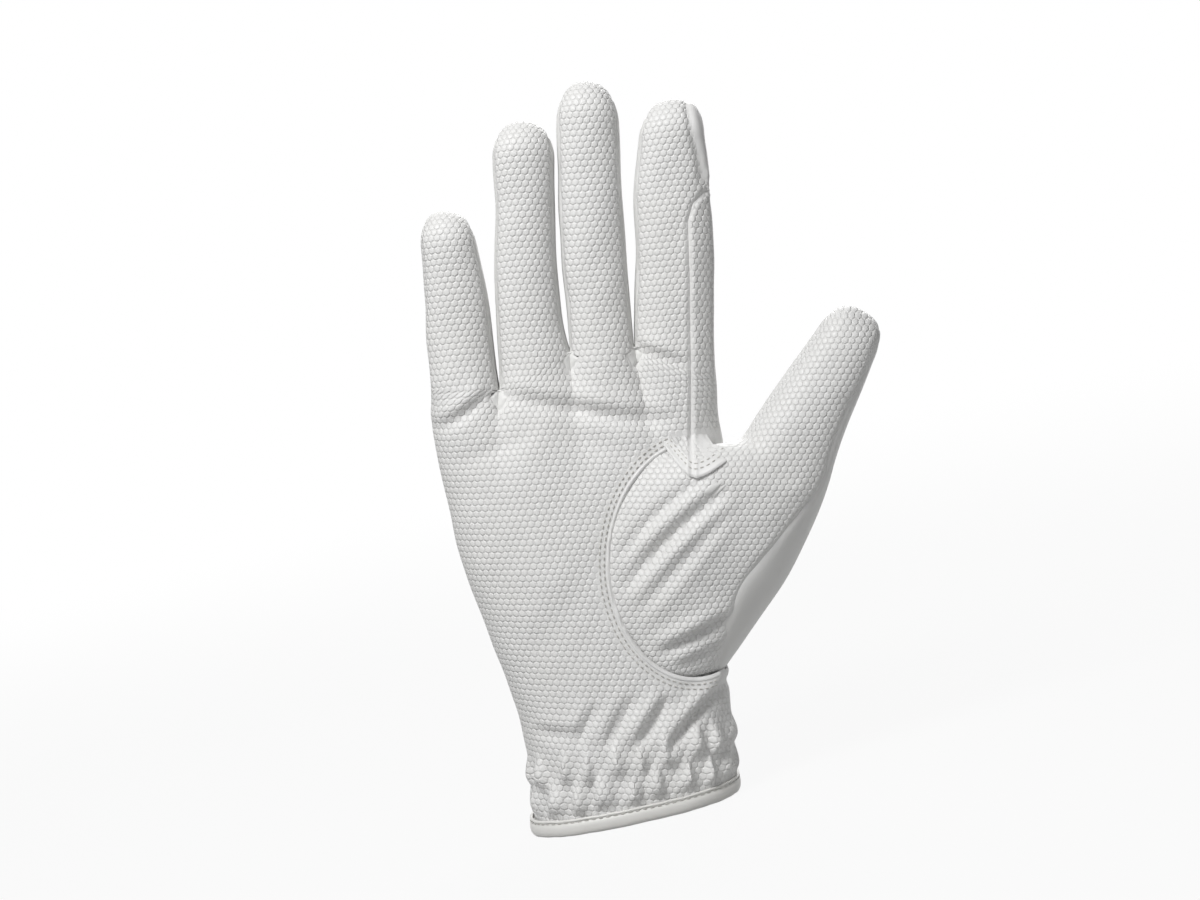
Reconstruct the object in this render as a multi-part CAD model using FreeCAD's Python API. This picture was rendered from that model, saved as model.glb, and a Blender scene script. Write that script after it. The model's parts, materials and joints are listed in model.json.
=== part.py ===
"""Right-hand riding glove of embossed synthetic leather, filled as if worn.

It stands on its cuff with the fingers up, the palm towards -Y and the thumb at +X. The leather is
cut and sewn as on the real glove: a palm panel that runs on into the finger fronts, a back panel,
fourchettes between the fingers, small quirks at the crotches, a side patch on the forefinger and a
set-in thumb. Each panel is a thin solid between an outer and an inner smooth surface, and is parted
where a finger bends. The part is laid out in the hand's own frame and turned upright at the end.
"""
import FreeCAD, Part
import math
import os
from dataclasses import dataclass
from FreeCAD import Vector

# ---- Driving dimensions: millimetres and degrees ----
LEATHER = 1.1             # thickness of the synthetic leather
SEAM_GAP = 0.2            # between two panels that are sewn to each other
HINGE_GAP = 0.5           # between the pieces on the two sides of a bend
HAND_LEAN = 12.4          # lean of the fingers towards the thumb when the cuff stands level
SQUARENESS = 2.4          # 2 is an ellipse, more is boxier: the section of palm, fingers and cuff
TINY = 1e-6
LEVEL_STEPS = 30          # rounds that settle a point on a sloping level
WALL_ANGLE = 60.0         # where the palm side turns into the side wall, seen from the middle
EDGE_ANGLE = 1.0          # left free along a seam that has no fourchette, in degrees
BEYOND = 60.0             # past every surface, for straight cuts

FINGER_BASE_DEPTH = 11.5  # half the depth of a finger at its crotch
FOURCHETTE_BULGE = 1.5    # how far a finger's side wall stands out beyond its seams
BULGE_RAMP = 9.0          # height over which the side walls of two fingers part above the crotch
MITRE_RAMP = 6.0          # height over which a finger's seams turn into full mitres
FINGER_CURL = 4.0         # how far a fingertip leans towards the palm side
KNUCKLE_HEIGHT = 9.0      # knuckle bend above the higher of a finger's two crotches
KNUCKLE_BEND = 80.0
MIDDLE_BEND = 85.0
FOLD_SPARE = 2.0          # angle left between two panels at the full bend
FOLD_CLEARANCE = 0.05     # between a fold and the panels above and below it
FOLD_ANGLE = 78.0         # how far a fold reaches round the finger from the middle of its palm side
FOURCHETTE_START = 0.1    # share of the foot of a finger that its side wall leaves to the quirk
FOURCHETTE_POINT = 0.7    # where a side wall ends in the rounded tip, 1 is its corner
TIP_CORNER = 0.72         # width between the corners of a tip seam, as a share of the finger
TIP_CORNER_HEIGHT = 0.62  # height of those corners, as a share of the rounded tip

SIDE_PATCH_X = 16.7       # palm-side edge of the forefinger's side patch
SIDE_PATCH_ANGLE = 20.0   # its palm-side edge further up, as an angle of the finger's section
SIDE_PATCH_TAPER = 3.0    # how fast it narrows over the rounded tip
QUIRK_WIDTH = 5.0
QUIRK_HEIGHT = 7.0
QUIRK_TOP = 0.3           # half width of its upper end
QUIRK_DROP = 1.0          # from the crotch down to its upper end
GUSSET_WIDTH = 9.0        # the thumb's own quirk
GUSSET_HEIGHT = 10.0

THUMB_HOLE_X = 19.0       # centre of the oval seam that sets the thumb into the palm
THUMB_HOLE_Z = 79.5
THUMB_HOLE_HALF_WIDTH = 27.0
THUMB_HOLE_HALF_HEIGHT = 36.0
THUMB_SEAM_START = 72.0   # angles on that oval, from +X
THUMB_SEAM_END = 285.0
THUMB_LEG = 0.2           # share of the thumb's back that goes round the hand at either end
THUMB_LEAN = 28.4         # thumb axis from upright, towards +X
THUMB_FORWARD = 6.0       # thumb axis in front of the middle of the hand
THUMB_BASE_BEND = 40.0
THUMB_TIP_BEND = 60.0
THUMB_BASE_HINGE = 118.0  # bends, measured along the thumb axis
THUMB_TIP_HINGE = 142.5
THUMB_EDGE = 0.5          # left free along the seam between its front and back, in degrees
THENAR_BULGE = 4.0        # how far the ball of the thumb stands out
OUTER_BULGE = 3.5         # the same on its outer side

HEM_TAPE = 0.9            # thickness of the binding tape
HEM_HEIGHT = 4.2
HEM_CLEARANCE = 0.3
HEM_EDGE_CLEARANCE = 0.1  # between the leather's edge and the turn of the tape round it
HEM_COLUMNS = 49
SLIT_HALF_WIDTH = 2.6
SLIT_HEIGHT = 46.0
SLIT_X = -2.0
SLIT_FOOT = -9.0          # the slit's cut starts below the lowest point of the cuff's edge
BACK_HALF = 4.0           # cuts through the back of the cuff start this far behind its middle
SLIT_TAPE_WIDTH = 3.0
ELASTIC_THICKNESS = 0.8
ELASTIC_WIDTH = 6.0
ELASTIC_HEIGHTS = (17.0, 27.0)
ELASTIC_ANGLE = 72.0
TAB_LENGTH = 41.0
TAB_WIDTH = 22.0
TAB_THICKNESS = 1.5
TAB_MIDDLE = 24.0         # height of the tab's middle line above the cuff edge
TAB_RADIUS = 9.0          # rounding of its free end
TAB_HINGE_X = 16.0
TAB_ANCHOR = 7.0          # length of the sewn end
PAD_THICKNESS = 0.7
PAD_MARGIN = 2.5
PAD_LENGTH = 14.0


@dataclass
class Station:
    """One level of the palm: centre in the hand plane, half sizes and tilt of its section."""

    x: float
    z: float
    half_width: float
    half_depth: float
    tilt: float


# From the cuff edge to just under the fingers
PALM = [
    Station(0.0, 0.0, 32.5, 21.5, 12.4),
    Station(-1.0, 17.2, 32.3, 21.0, 12.0),
    Station(-3.4, 34.2, 32.6, 20.2, 11.1),
    Station(-8.2, 57.5, 37.3, 18.8, 7.5),
    Station(-13.0, 81.0, 42.4, 17.6, 4.5),
    Station(-16.2, 109.0, 45.2, 16.2, 1.5),
    Station(-18.4, 124.0, 45.2, 14.6, 0.5),
]
PALM_STRIPS = (0.0, 0.25, 0.5, 0.73, 1.0)  # shares of the palm's width that run into each finger
FINGER_SHAPE_SHARE = 0.5                   # of the fingers' domes in the last palm station


def mix(a, b, t):
    """Value between a and b; works for numbers and vectors."""
    return a * (1.0 - t) + b * t


def smooth_curve(points):
    """Smooth function through (place, value) pairs, level with its ends beyond them."""
    xs = [p[0] for p in points]
    ys = [p[1] for p in points]
    last = len(xs) - 1
    slopes = []
    for i in range(len(xs)):
        low, high = max(0, i - 1), min(last, i + 1)
        slopes.append((ys[high] - ys[low]) / (xs[high] - xs[low]))

    def value(x):
        x = min(max(x, xs[0]), xs[-1])
        i = max(j for j in range(last) if xs[j] <= x or j == 0)
        span = xs[i + 1] - xs[i]
        t = (x - xs[i]) / span
        start = (1 + 2 * t) * (1 - t) ** 2 * ys[i] + t * (1 - t) ** 2 * span * slopes[i]
        end = t * t * (3 - 2 * t) * ys[i + 1] - t * t * (1 - t) * span * slopes[i + 1]
        return start + end

    return value


def section(angle):
    """Point of the unit section: 0 faces the palm side, 90 the thumb side, 180 the back."""
    s = math.sin(math.radians(angle))
    c = math.cos(math.radians(angle))
    x = math.copysign(abs(s) ** (2 / SQUARENESS), s)
    y = -math.copysign(abs(c) ** (2 / SQUARENESS), c)
    return x, y


def spread(start, end, count):
    """Evenly spaced values from start to end."""
    return [mix(start, end, i / (count - 1)) for i in range(count)]


# ---- Solids from nets of points ----

def net_face(net):
    """Smooth face over a net of control points, exact along its four edges."""
    rows, columns = len(net), len(net[0])
    degrees = [min(3, n - 1) for n in (rows, columns)]
    knots = [list(range(n - d + 1)) for n, d in zip((rows, columns), degrees)]
    counts = [[d + 1] + [1] * (len(k) - 2) + [d + 1] for k, d in zip(knots, degrees)]
    surface = Part.BSplineSurface()
    surface.buildFromPolesMultsKnots(
        net, counts[0], counts[1], knots[0], knots[1], False, False, degrees[0], degrees[1])
    return surface.toShape()


class Patch:
    """A piece of leather between an outer and an inner net with the same rows and columns."""

    def __init__(self, outer, inner):
        self.outer = outer
        self.inner = inner

    def sides(self):
        """The four edges as (outer points, inner points)."""
        yield self.outer[0], self.inner[0]
        yield self.outer[-1], self.inner[-1]
        yield [r[0] for r in self.outer], [r[0] for r in self.inner]
        yield [r[-1] for r in self.outer], [r[-1] for r in self.inner]


def side_key(points):
    """Name of an edge that is the same from both of its patches."""
    ends = [tuple(round(v, 3) for v in p) for p in (points[0], points[-1], points[len(points) // 2])]
    return tuple(sorted(ends[:2])) + (ends[2],)


def sewn(patches):
    """One solid from patches: edges that two of them share stay open, all others are closed."""
    faces = []
    count = {}
    for patch in patches:
        for outer, _ in patch.sides():
            key = side_key(outer)
            count[key] = count.get(key, 0) + 1
    for patch in patches:
        faces += [net_face(patch.outer), net_face(patch.inner)]
        for outer, inner in patch.sides():
            if count[side_key(outer)] == 1:
                faces.append(net_face([outer, inner]))
    shell = Part.makeShell(faces)
    shell.sewShape()
    solid = Part.makeSolid(shell)
    if solid.Volume < 0:
        solid.reverse()
    return solid


def prism(points, y_from, y_to):
    """Straight-edged prism along Y over (x, z) points."""
    wire = Part.makePolygon([Vector(x, y_from, z) for x, z in points + points[:1]])
    return Part.Face(wire).extrude(Vector(0, y_to - y_from, 0))


# ---- Digits ----

class Digit:
    """A finger or thumb: edges, depth and tip along its own axis, and its two bends."""

    def __init__(self, name, edges, tip, bulges, seam_angle, hinges, bends,
                 crotches=None, lean=0.0, forward=0.0):
        # edges: (height, little-finger side, thumb side, half depth); tip: (across, height)
        self.name = name
        self.tip = tip
        self.bulges = bulges
        self.seam = section(seam_angle)
        self.seam_angle = seam_angle
        self.hinges = hinges
        self.bends = bends
        self.crotches = crotches
        self.forward = forward
        self.across = Vector(math.cos(math.radians(lean)), 0, -math.sin(math.radians(lean)))
        self.along = Vector(math.sin(math.radians(lean)), 0, math.cos(math.radians(lean)))
        left = [(e[0], e[1]) for e in edges]
        right = [(e[0], e[2]) for e in edges]
        depth = [(e[0], e[3]) for e in edges]
        if crotches:
            left.insert(0, (crotches[0][1], crotches[0][0]))
            right.insert(0, (crotches[1][1], crotches[1][0]))
            middle = (crotches[0][1] + crotches[1][1]) / 2
            depth = [(0.0, FINGER_BASE_DEPTH)] + [(z - middle, d) for z, d in depth]
        self.left = smooth_curve(left)
        self.right = smooth_curve(right)
        self.depth = smooth_curve(depth)
        self.shoulder = edges[-1][0]

    def base_height(self, x):
        """Height of the crotch line at x."""
        if not self.crotches:
            return 0.0
        (x0, z0), (x1, z1) = self.crotches
        return mix(z0, z1, (x - x0) / (x1 - x0))

    def rise(self, x, z):
        """Height above the crotch line, or along the axis where there is none."""
        return z - self.base_height(x)

    def lean_in(self, x, z):
        """How far the middle of the section lies in front of the hand's middle."""
        if not self.crotches:
            return self.forward
        share = max(0.0, self.rise(x, z)) / (self.tip[1] - self.crotches[0][1])
        return FINGER_CURL * share ** 2

    def side_bulge(self, side, x, z):
        """Bulge of one side wall; walls that face a neighbour start flat at the crotch."""
        if not self.crotches or self.bulges[side] == "free":
            return self.full_bulge(side, z)
        return FOURCHETTE_BULGE * min(1.0, max(0.0, self.rise(x, z) / BULGE_RAMP))

    def full_bulge(self, side, z):
        """Bulge of a side that no neighbour narrows."""
        if self.crotches:
            return FOURCHETTE_BULGE
        return (self.right(z) - self.left(z)) / 2 * (1 - self.seam[0])

    def seams(self, z):
        """Places across of the two seam lines."""
        left, right = self.left(z), self.right(z)
        return left + self.side_bulge(0, left, z), right - self.side_bulge(1, right, z)

    def section_point(self, angle, z, inset):
        """(across, depth) on the skin, or inset below it."""
        ux, uy = section(angle)
        left, right = self.seams(z)
        share = ux / self.seam[0]
        x = mix(left, right, (min(1.0, max(-1.0, share)) + 1) / 2)
        side = 1 if ux > 0 else 0
        mitre = 1.0
        if self.bulges[side] == "facing":
            mitre = min(1.0, max(0.0, self.rise(x, z) / MITRE_RAMP))
        if abs(ux) > self.seam[0] + TINY:
            bulge = self.side_bulge(side, x, z)
            x += math.copysign(bulge * (abs(ux) - self.seam[0]) / (1 - self.seam[0]), ux)
        x -= inset * mitre * min(1.0, max(-1.0, share))
        y = self.half_depth(x, z, inset) * uy - self.lean_in(x, z)
        return x, y

    def half_depth(self, x, z, inset):
        """Half the depth of the section at a height."""
        return self.depth(self.rise(x, z)) - inset

    def on_level(self, angle, level, inset=0.0):
        """Point of the skin on a level, a function of (across, depth) that gives the height."""
        z = level((self.left(0) + self.right(0)) / 2, 0.0)
        for _ in range(LEVEL_STEPS):
            x, y = self.section_point(angle, z, inset)
            z = level(x, y)
        return self.place(x, y, z)

    def place(self, x, y, z):
        """From (across, depth, along) to the hand frame."""
        return self.across * x + Vector(0, y, 0) + self.along * z

    def hinge_point(self, index):
        """Middle of a bend's axis, as (across, depth, along)."""
        z = self.hinges[index]
        x = (self.left(z) + self.right(z)) / 2
        return x, -self.lean_in(x, z), z

    def base_level(self):
        """Level of the crotch line."""
        return lambda x, y: self.base_height(x)

    def shoulder_level(self):
        """Level at which the rounded tip starts."""
        return lambda x, y: self.shoulder

    def bend_level(self, index, side):
        """Level just under (side -1) or over (+1) a bend, cut back on the palm side."""
        _, axis_y, z = self.hinge_point(index)
        slope = math.tan(math.radians(self.bends[index] / 2 + FOLD_SPARE))
        return lambda x, y: z + side * (HINGE_GAP / 2 + slope * max(0.0, axis_y - y))

    def fold_level(self, index, side):
        """Edge of the folding leather inside a bend."""
        bend = self.bend_level(index, side)
        return lambda x, y: bend(x, y) - side * (HINGE_GAP / 2 - FOLD_CLEARANCE)

    def tip_point(self, angle, turn, inset):
        """Point of the rounded tip; turn 0 is its foot and 1 the seam over the top."""
        z = self.shoulder
        ux, uy = section(angle)
        left, right = self.seams(z)
        seam_x, seam_y = self.seam
        depth = self.half_depth(mix(left, right, 0.5), z, inset)
        half = (right - left) / 2 - inset
        length = self.tip[1] - z - inset
        width = half * (1 - (1 - TIP_CORNER) * turn ** 2)
        corner_y = depth * -seam_y * (1 - turn ** 2)
        corner_z = z + (length - 0.5 * inset) * TIP_CORNER_HEIGHT * turn
        ridge_y = depth * math.cos(math.radians(90 * turn))
        ridge_z = z + length * math.sin(math.radians(90 * turn))
        share = min(1.0, max(-1.0, ux / seam_x))
        x = mix((left + right) / 2, self.tip[0], turn) + share * width
        if abs(ux) > seam_x + TINY:
            side = 1 if ux > 0 else 0
            bulge = self.side_bulge(side, x, z) * (1 - turn)
            x += math.copysign(bulge * (abs(ux) - seam_x) / (1 - seam_x), ux)
            y = corner_y * uy / -seam_y if seam_y else 0.0
            return self.place(x, y - self.lean_in(x, corner_z), corner_z)
        rise = (abs(uy) + seam_y) / (1 + seam_y)
        y = math.copysign(corner_y + rise * (ridge_y - corner_y), uy)
        height = mix(corner_z, ridge_z, rise)
        return self.place(x, y - self.lean_in(x, height), height)

    def band(self, angles, levels, rows):
        """Patch of the shaft between two levels, over a list of section angles."""
        nets = []
        for inset in (0.0, LEATHER):
            net = []
            for t in spread(0.0, 1.0, rows):
                level = blend_levels(levels[0], levels[1], t)
                net.append([self.on_level(a, level, inset) for a in angles])
            nets.append(net)
        return Patch(*nets)

    def cap(self, angles, level, rows, tip_rows, turn_end=1.0):
        """Patch from a level up over the fingertip to its seam; angles may change on the way."""
        nets = []
        start = angles if callable(angles) else (lambda turn: angles)
        for inset in (0.0, LEATHER):
            net = []
            for t in spread(0.0, 1.0, rows):
                here = blend_levels(level, self.shoulder_level(), t)
                net.append([self.on_level(a, here, inset) for a in start(0.0)])
            for turn in spread(0.0, turn_end, tip_rows)[1:]:
                net.append([self.tip_point(a, turn, inset) for a in start(turn)])
            nets.append(net)
        return Patch(*nets)

    def side_point(self, side, share, z, inset):
        """(across, depth) on a fourchette, share -1 to 1 from its palm edge to its back edge."""
        edge = self.seams(z)[side]
        sign = (-1, 1)[side]
        reach = self.half_depth(edge, z, LEATHER) * -self.seam[1] - SEAM_GAP
        bulge = self.side_bulge(side, edge, z)
        x = edge + sign * (bulge * (1 - share ** 2) - inset)
        return x, share * reach - self.lean_in(edge, z)

    def fourchette(self, side, low, high, rows, point=0.0):
        """Side wall between two levels; a point narrows its upper end into the fingertip."""
        nets = []
        for inset in (0.0, LEATHER):
            net = []
            for t in spread(0.0, 1.0, rows):
                level = blend_levels(low, high, t)
                row = []
                for share in spread(-1.0, 1.0, 5):
                    z = level(0.0, 0.0)
                    for _ in range(LEVEL_STEPS):
                        x, y = self.side_point(side, share, z, inset)
                        z = level(x, y)
                    row.append(self.place(x, y, z))
                net.append(row)
            if point:
                net += self.fourchette_point(side, inset, point)
            nets.append(net)
        return sewn([Patch(*nets)])

    def fourchette_point(self, side, inset, turn_end):
        """Rows that lead a fourchette into the fingertip."""
        rows = []
        sign = (-1, 1)[side]
        for turn in spread(0.0, turn_end, 4)[1:]:
            row = []
            for share in spread(-1.0, 1.0, 5):
                angle = sign * (90 + share * (90 - self.seam_angle))
                outer = self.tip_point(angle, turn, 0.0)
                squeeze = 1 - (LEATHER + 2 * SEAM_GAP) / self.depth(self.rise(0, self.shoulder))
                middle = -self.lean_in(outer.x, outer.z)
                shift = self.across * (-sign * inset)
                row.append(Vector(outer.x, middle + (outer.y - middle) * squeeze, outer.z) + shift)
            rows.append(row)
        return rows


def blend_levels(low, high, t):
    """Level between two levels."""
    return lambda x, y: mix(low(x, y), high(x, y), t)


def finger(name, crotches, edges, tip, free_side, middle_height):
    """A finger between two crotches, given as (across, height)."""
    base = max(crotches[0][1], crotches[1][1])
    bulges = ["free" if free_side == side else "facing" for side in (0, 1)]
    hinges = (base + KNUCKLE_HEIGHT, base + middle_height)
    return Digit(name, edges, tip, bulges, WALL_ANGLE, hinges, (KNUCKLE_BEND, MIDDLE_BEND), crotches)


ULNAR_FOOT = (-63.6, 131.4)
LITTLE_RING = (-42.2, 131.4)
RING_MIDDLE = (-20.5, 143.2)
MIDDLE_INDEX = (-0.6, 144.8)
RADIAL_FOOT = (24.3, 136.0)

FINGERS = [
    finger("little", (ULNAR_FOOT, LITTLE_RING),
           [(145, -64.6, -44.0, 10.2), (160, -65.1, -45.6, 9.6), (176, -66.5, -49.0, 8.8)],
           (-58.4, 186.3), 0, 31.0),
    finger("ring", (LITTLE_RING, RING_MIDDLE),
           [(152, -43.2, -22.6, 10.6), (170, -43.9, -24.3, 10.2), (188, -43.4, -25.1, 9.6),
            (203, -44.4, -25.0, 9.2)],
           (-34.9, 214.0), None, 37.0),
    finger("middle", (RING_MIDDLE, MIDDLE_INDEX),
           [(156, -21.6, -1.7, 10.8), (172, -23.2, -2.9, 10.5), (195, -24.2, -4.5, 10.0),
            (214, -24.6, -5.3, 9.2)],
           (-15.2, 226.0), None, 42.0),
    finger("index", (MIDDLE_INDEX, RADIAL_FOOT),
           [(152, -0.9, 23.9, 11.0), (171, -0.3, 24.0, 10.6), (192, -0.9, 22.4, 10.0),
            (209, 0.6, 20.6, 9.2)],
           (11.3, 220.6), 1, 40.0),
]
LITTLE, RING, MIDDLE, INDEX = FINGERS

THUMB = Digit(
    "thumb",
    [(100, -27.8, 9.0, 14.5), (112, -27.2, 5.8, 13.5), (122, -26.4, 2.9, 12.6), (135, -25.2, 0.0, 11.4),
     (147, -23.8, -1.2, 10.6), (158, -22.6, -2.6, 9.8)],
    (-12.7, 170.2), ("free", "free"), 90.0, (THUMB_BASE_HINGE, THUMB_TIP_HINGE),
    (THUMB_BASE_BEND, THUMB_TIP_BEND), None, THUMB_LEAN, THUMB_FORWARD)


FINGER_FOLDS = ("knuckle_fold", "middle_fold")
THUMB_FOLDS = ("base_fold", "tip_fold")


# ---- Palm and cuff ----

def palm_point(station, angle, inset=0.0):
    """Point of the palm's rounded section at a station."""
    ux, uy = section(angle)
    tilt = math.radians(station.tilt)
    across = ux * (station.half_width - inset)
    return Vector(station.x + across * math.cos(tilt), uy * (station.half_depth - inset),
                  station.z + across * math.sin(tilt))


def palm_strip(angles_by_share, finger_patch):
    """Patch from the cuff edge up to the foot of a finger patch with the same columns."""
    nets = []
    for inset, top in ((0.0, finger_patch.outer[0]), (LEATHER, finger_patch.inner[0])):
        net = [[palm_point(station, a, inset) for a in angles_by_share] for station in PALM]
        for i, foot in enumerate(top):
            plain = net[-1][i]
            net[-1][i] = mix(plain, Vector(foot.x, foot.y, plain.z), FINGER_SHAPE_SHARE)
        net.append(top)
        nets.append(net)
    return Patch(*nets)


COLUMNS = 5
WALL_COLUMNS = 9
FRONT = spread(-WALL_ANGLE, WALL_ANGLE, COLUMNS)
BACK = spread(180 - WALL_ANGLE, 180 + WALL_ANGLE, COLUMNS)
ULNAR = spread(-180 + WALL_ANGLE, -WALL_ANGLE, WALL_COLUMNS)
RADIAL = spread(WALL_ANGLE, 180 - WALL_ANGLE, WALL_COLUMNS)


def leather_body(side):
    """The palm panel (side 0) or back panel (1) as one cut, with the feet of its fingers."""
    patches = []
    for i, digit in enumerate(FINGERS):
        angles = (FRONT, BACK[::-1])[side]
        low, high = PALM_STRIPS[i], PALM_STRIPS[i + 1]
        foot = digit.band(angles, (digit.base_level(), digit.bend_level(0, -1)), 4)
        columns = [mix(angles[0], angles[-1], mix(low, high, t)) for t in spread(0, 1, COLUMNS)]
        patches += [foot, palm_strip(columns, foot)]
    if side == 0:
        for digit, angles in ((LITTLE, ULNAR), (INDEX, RADIAL)):
            foot = digit.band(angles, (digit.base_level(), digit.bend_level(0, -1)), 4)
            patches += [foot, palm_strip(angles, foot)]
    return sewn(patches)


def cuff_point(angle, height, offset):
    """Point near the cuff at a height above its edge, offset out from the skin."""
    low, high = PALM[0], PALM[2]
    rise = math.hypot(high.x - low.x, high.z - low.z)
    t = height / rise
    here = Station(mix(low.x, high.x, t), mix(low.z, high.z, t), mix(low.half_width, high.half_width, t),
                   mix(low.half_depth, high.half_depth, t), mix(low.tilt, high.tilt, t))
    return palm_point(here, angle, -offset)


def cuff_band(angles, heights, offsets):
    """Solid band round part of the cuff between two heights and two offsets."""
    outer = [[cuff_point(a, h, offsets[1]) for a in angles] for h in heights]
    inner = [[cuff_point(a, h, offsets[0]) for a in angles] for h in heights]
    return sewn([Patch(outer, inner)])


def cuff_profile(angles, profile):
    """Solid with a closed (offset, height) profile along the cuff."""
    rails = [[cuff_point(a, h, o) for a in angles] for o, h in profile]
    faces = [net_face([rails[i - 1], rails[i]]) for i in range(len(rails))]
    for end in (0, -1):
        corners = [rail[end] for rail in rails]
        faces.append(Part.Face(Part.makePolygon(corners + corners[:1])))
    shell = Part.makeShell(faces)
    shell.sewShape()
    solid = Part.makeSolid(shell)
    if solid.Volume < 0:
        solid.reverse()
    return solid


def cuff_prism(outline):
    """Prism through the back of the cuff over (across, height) points measured from its edge."""
    tilt = math.radians(PALM[0].tilt)
    turned = [(x * math.cos(tilt) - z * math.sin(tilt), x * math.sin(tilt) + z * math.cos(tilt))
              for x, z in outline]
    return prism(turned, BACK_HALF, BEYOND)


def arch(half_width, foot, top, grow=0.0):
    """Outline of an upright slot with a round top, grown all round."""
    half = half_width + grow
    centre = top - half_width
    points = [(SLIT_X + half, foot)]
    for step in range(13):
        angle = math.radians(180 * step / 12)
        points.append((SLIT_X + half * math.cos(angle), centre + half * math.sin(angle)))
    return points + [(SLIT_X - half, foot)]


# ---- Thumb base ----

def station_at(z):
    """The palm's section at a height between its stations."""
    heights = [s.z for s in PALM]
    fields = ("x", "z", "half_width", "half_depth", "tilt")
    return Station(*[smooth_curve(list(zip(heights, [getattr(s, f) for s in PALM])))(z) for f in fields])


def palm_ring(angle, z, inset=0.0):
    """Point of the palm's skin at a section angle and a height in the hand frame."""
    level = z
    for _ in range(LEVEL_STEPS):
        point = palm_point(station_at(level), angle, inset)
        level += z - point.z
    return point


def palm_angle(x, z):
    """Section angle of the palm-side skin at a place in the hand plane."""
    level = z
    for _ in range(LEVEL_STEPS):
        station = station_at(level)
        level = z - (x - station.x) * math.tan(math.radians(station.tilt))
    across = (x - station.x) / (station.half_width * math.cos(math.radians(station.tilt)))
    sine = min(0.99, abs(across)) ** (SQUARENESS / 2)
    return math.copysign(math.degrees(math.asin(sine)), across)


def thumb_seam(angle, shrink=0.0):
    """Point of the oval thumb seam, by angle on the thumb's own section (-90 to 90)."""
    turn = mix(THUMB_SEAM_START, THUMB_SEAM_END, (angle + 90) / 180)
    x = THUMB_HOLE_X + (THUMB_HOLE_HALF_WIDTH - shrink) * math.cos(math.radians(turn))
    z = THUMB_HOLE_Z + (THUMB_HOLE_HALF_HEIGHT - shrink) * math.sin(math.radians(turn))
    return x, z


def thumb_foot(angle, inset):
    """Where the thumb's leather starts on the hand: the oval on the palm, then round the back."""
    if angle <= 90:
        x, z = thumb_seam(angle, 2 * SEAM_GAP)
        return palm_ring(palm_angle(x, z), z, inset)
    ends = [thumb_seam(a, 2 * SEAM_GAP) for a in (90, -90)]
    turns = [palm_angle(x, z) for x, z in ends]
    share = (angle - 90) / 180
    along = min(1.0, max(0.0, (share - THUMB_LEG) / (1 - 2 * THUMB_LEG)))
    side = 0 if share < 0.5 else 1
    round_back = min(1.0, min(share, 1 - share) / THUMB_LEG)
    turn = mix(turns[side], 180 - WALL_ANGLE - EDGE_ANGLE, round_back)
    return palm_ring(turn, mix(ends[0][1], ends[1][1], along), inset)


def thumb_base(angles, level):
    """Patch from the thumb seam out to the thumb's first bend."""
    nets = []
    for inset in (0.0, LEATHER):
        net = []
        for r in spread(0.0, 1.0, 6):
            row = []
            for angle in angles:
                ring = THUMB.on_level(angle, level, inset)
                swell = 4 * r * (1 - r)
                front = max(0.0, math.cos(math.radians(angle)))
                outer = max(0.0, math.sin(math.radians(angle)))
                push = Vector(0, -THENAR_BULGE * front, 0) + THUMB.across * (OUTER_BULGE * outer)
                row.append(mix(thumb_foot(angle, inset), ring, r) + push * swell)
            net.append(row)
        nets.append(net)
    return sewn([Patch(*nets)])


# ---- Pieces ----

def digit_pieces(digit):
    """Front and back panels and folds of a digit above its first bend."""
    pieces = {}
    knuckle_top = digit.bend_level(0, 1)
    middle_low = digit.bend_level(1, -1)
    middle_top = digit.bend_level(1, 1)
    edge = digit.seam_angle
    front = spread(-edge, edge, 7)
    back = spread(180 - edge, 180 + edge, 7)
    front_bands = [front]
    if digit is LITTLE:
        front_bands.append(spread(-180 + edge + EDGE_ANGLE, -edge, 4))
    if digit is INDEX:
        front_bands = [spread(-edge, SIDE_PATCH_ANGLE - EDGE_ANGLE, 5)]
    pieces["front_lower"] = sewn([digit.band(a, (knuckle_top, middle_low), 4) for a in front_bands])
    pieces["back_lower"] = sewn([digit.band(back, (knuckle_top, middle_low), 4)])
    pieces["back_upper"] = sewn([digit.cap(back, middle_top, 4, 6)])
    if digit is INDEX:
        def front_columns(turn):
            end = mix(SIDE_PATCH_ANGLE - EDGE_ANGLE, edge, min(1.0, turn * SIDE_PATCH_TAPER))
            return spread(-edge, end, 6)
        pieces["front_upper"] = sewn([digit.cap(front_columns, middle_top, 4, 6)])
    else:
        pieces["front_upper"] = sewn([digit.cap(front, middle_top, 4, 6)])
    if digit is LITTLE:
        wall = digit.fourchette(0, middle_top, digit.shoulder_level(), 4, FOURCHETTE_POINT)
        pieces["front_upper"] = Part.makeCompound([pieces["front_upper"], wall])
    for index, name in enumerate(THUMB_FOLDS if digit is THUMB else FINGER_FOLDS):
        wrap = spread(-FOLD_ANGLE, FOLD_ANGLE, 9)
        levels = (digit.fold_level(index, -1), digit.fold_level(index, 1))
        pieces[name] = sewn([digit.band(wrap, levels, 3)])
    return pieces


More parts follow.
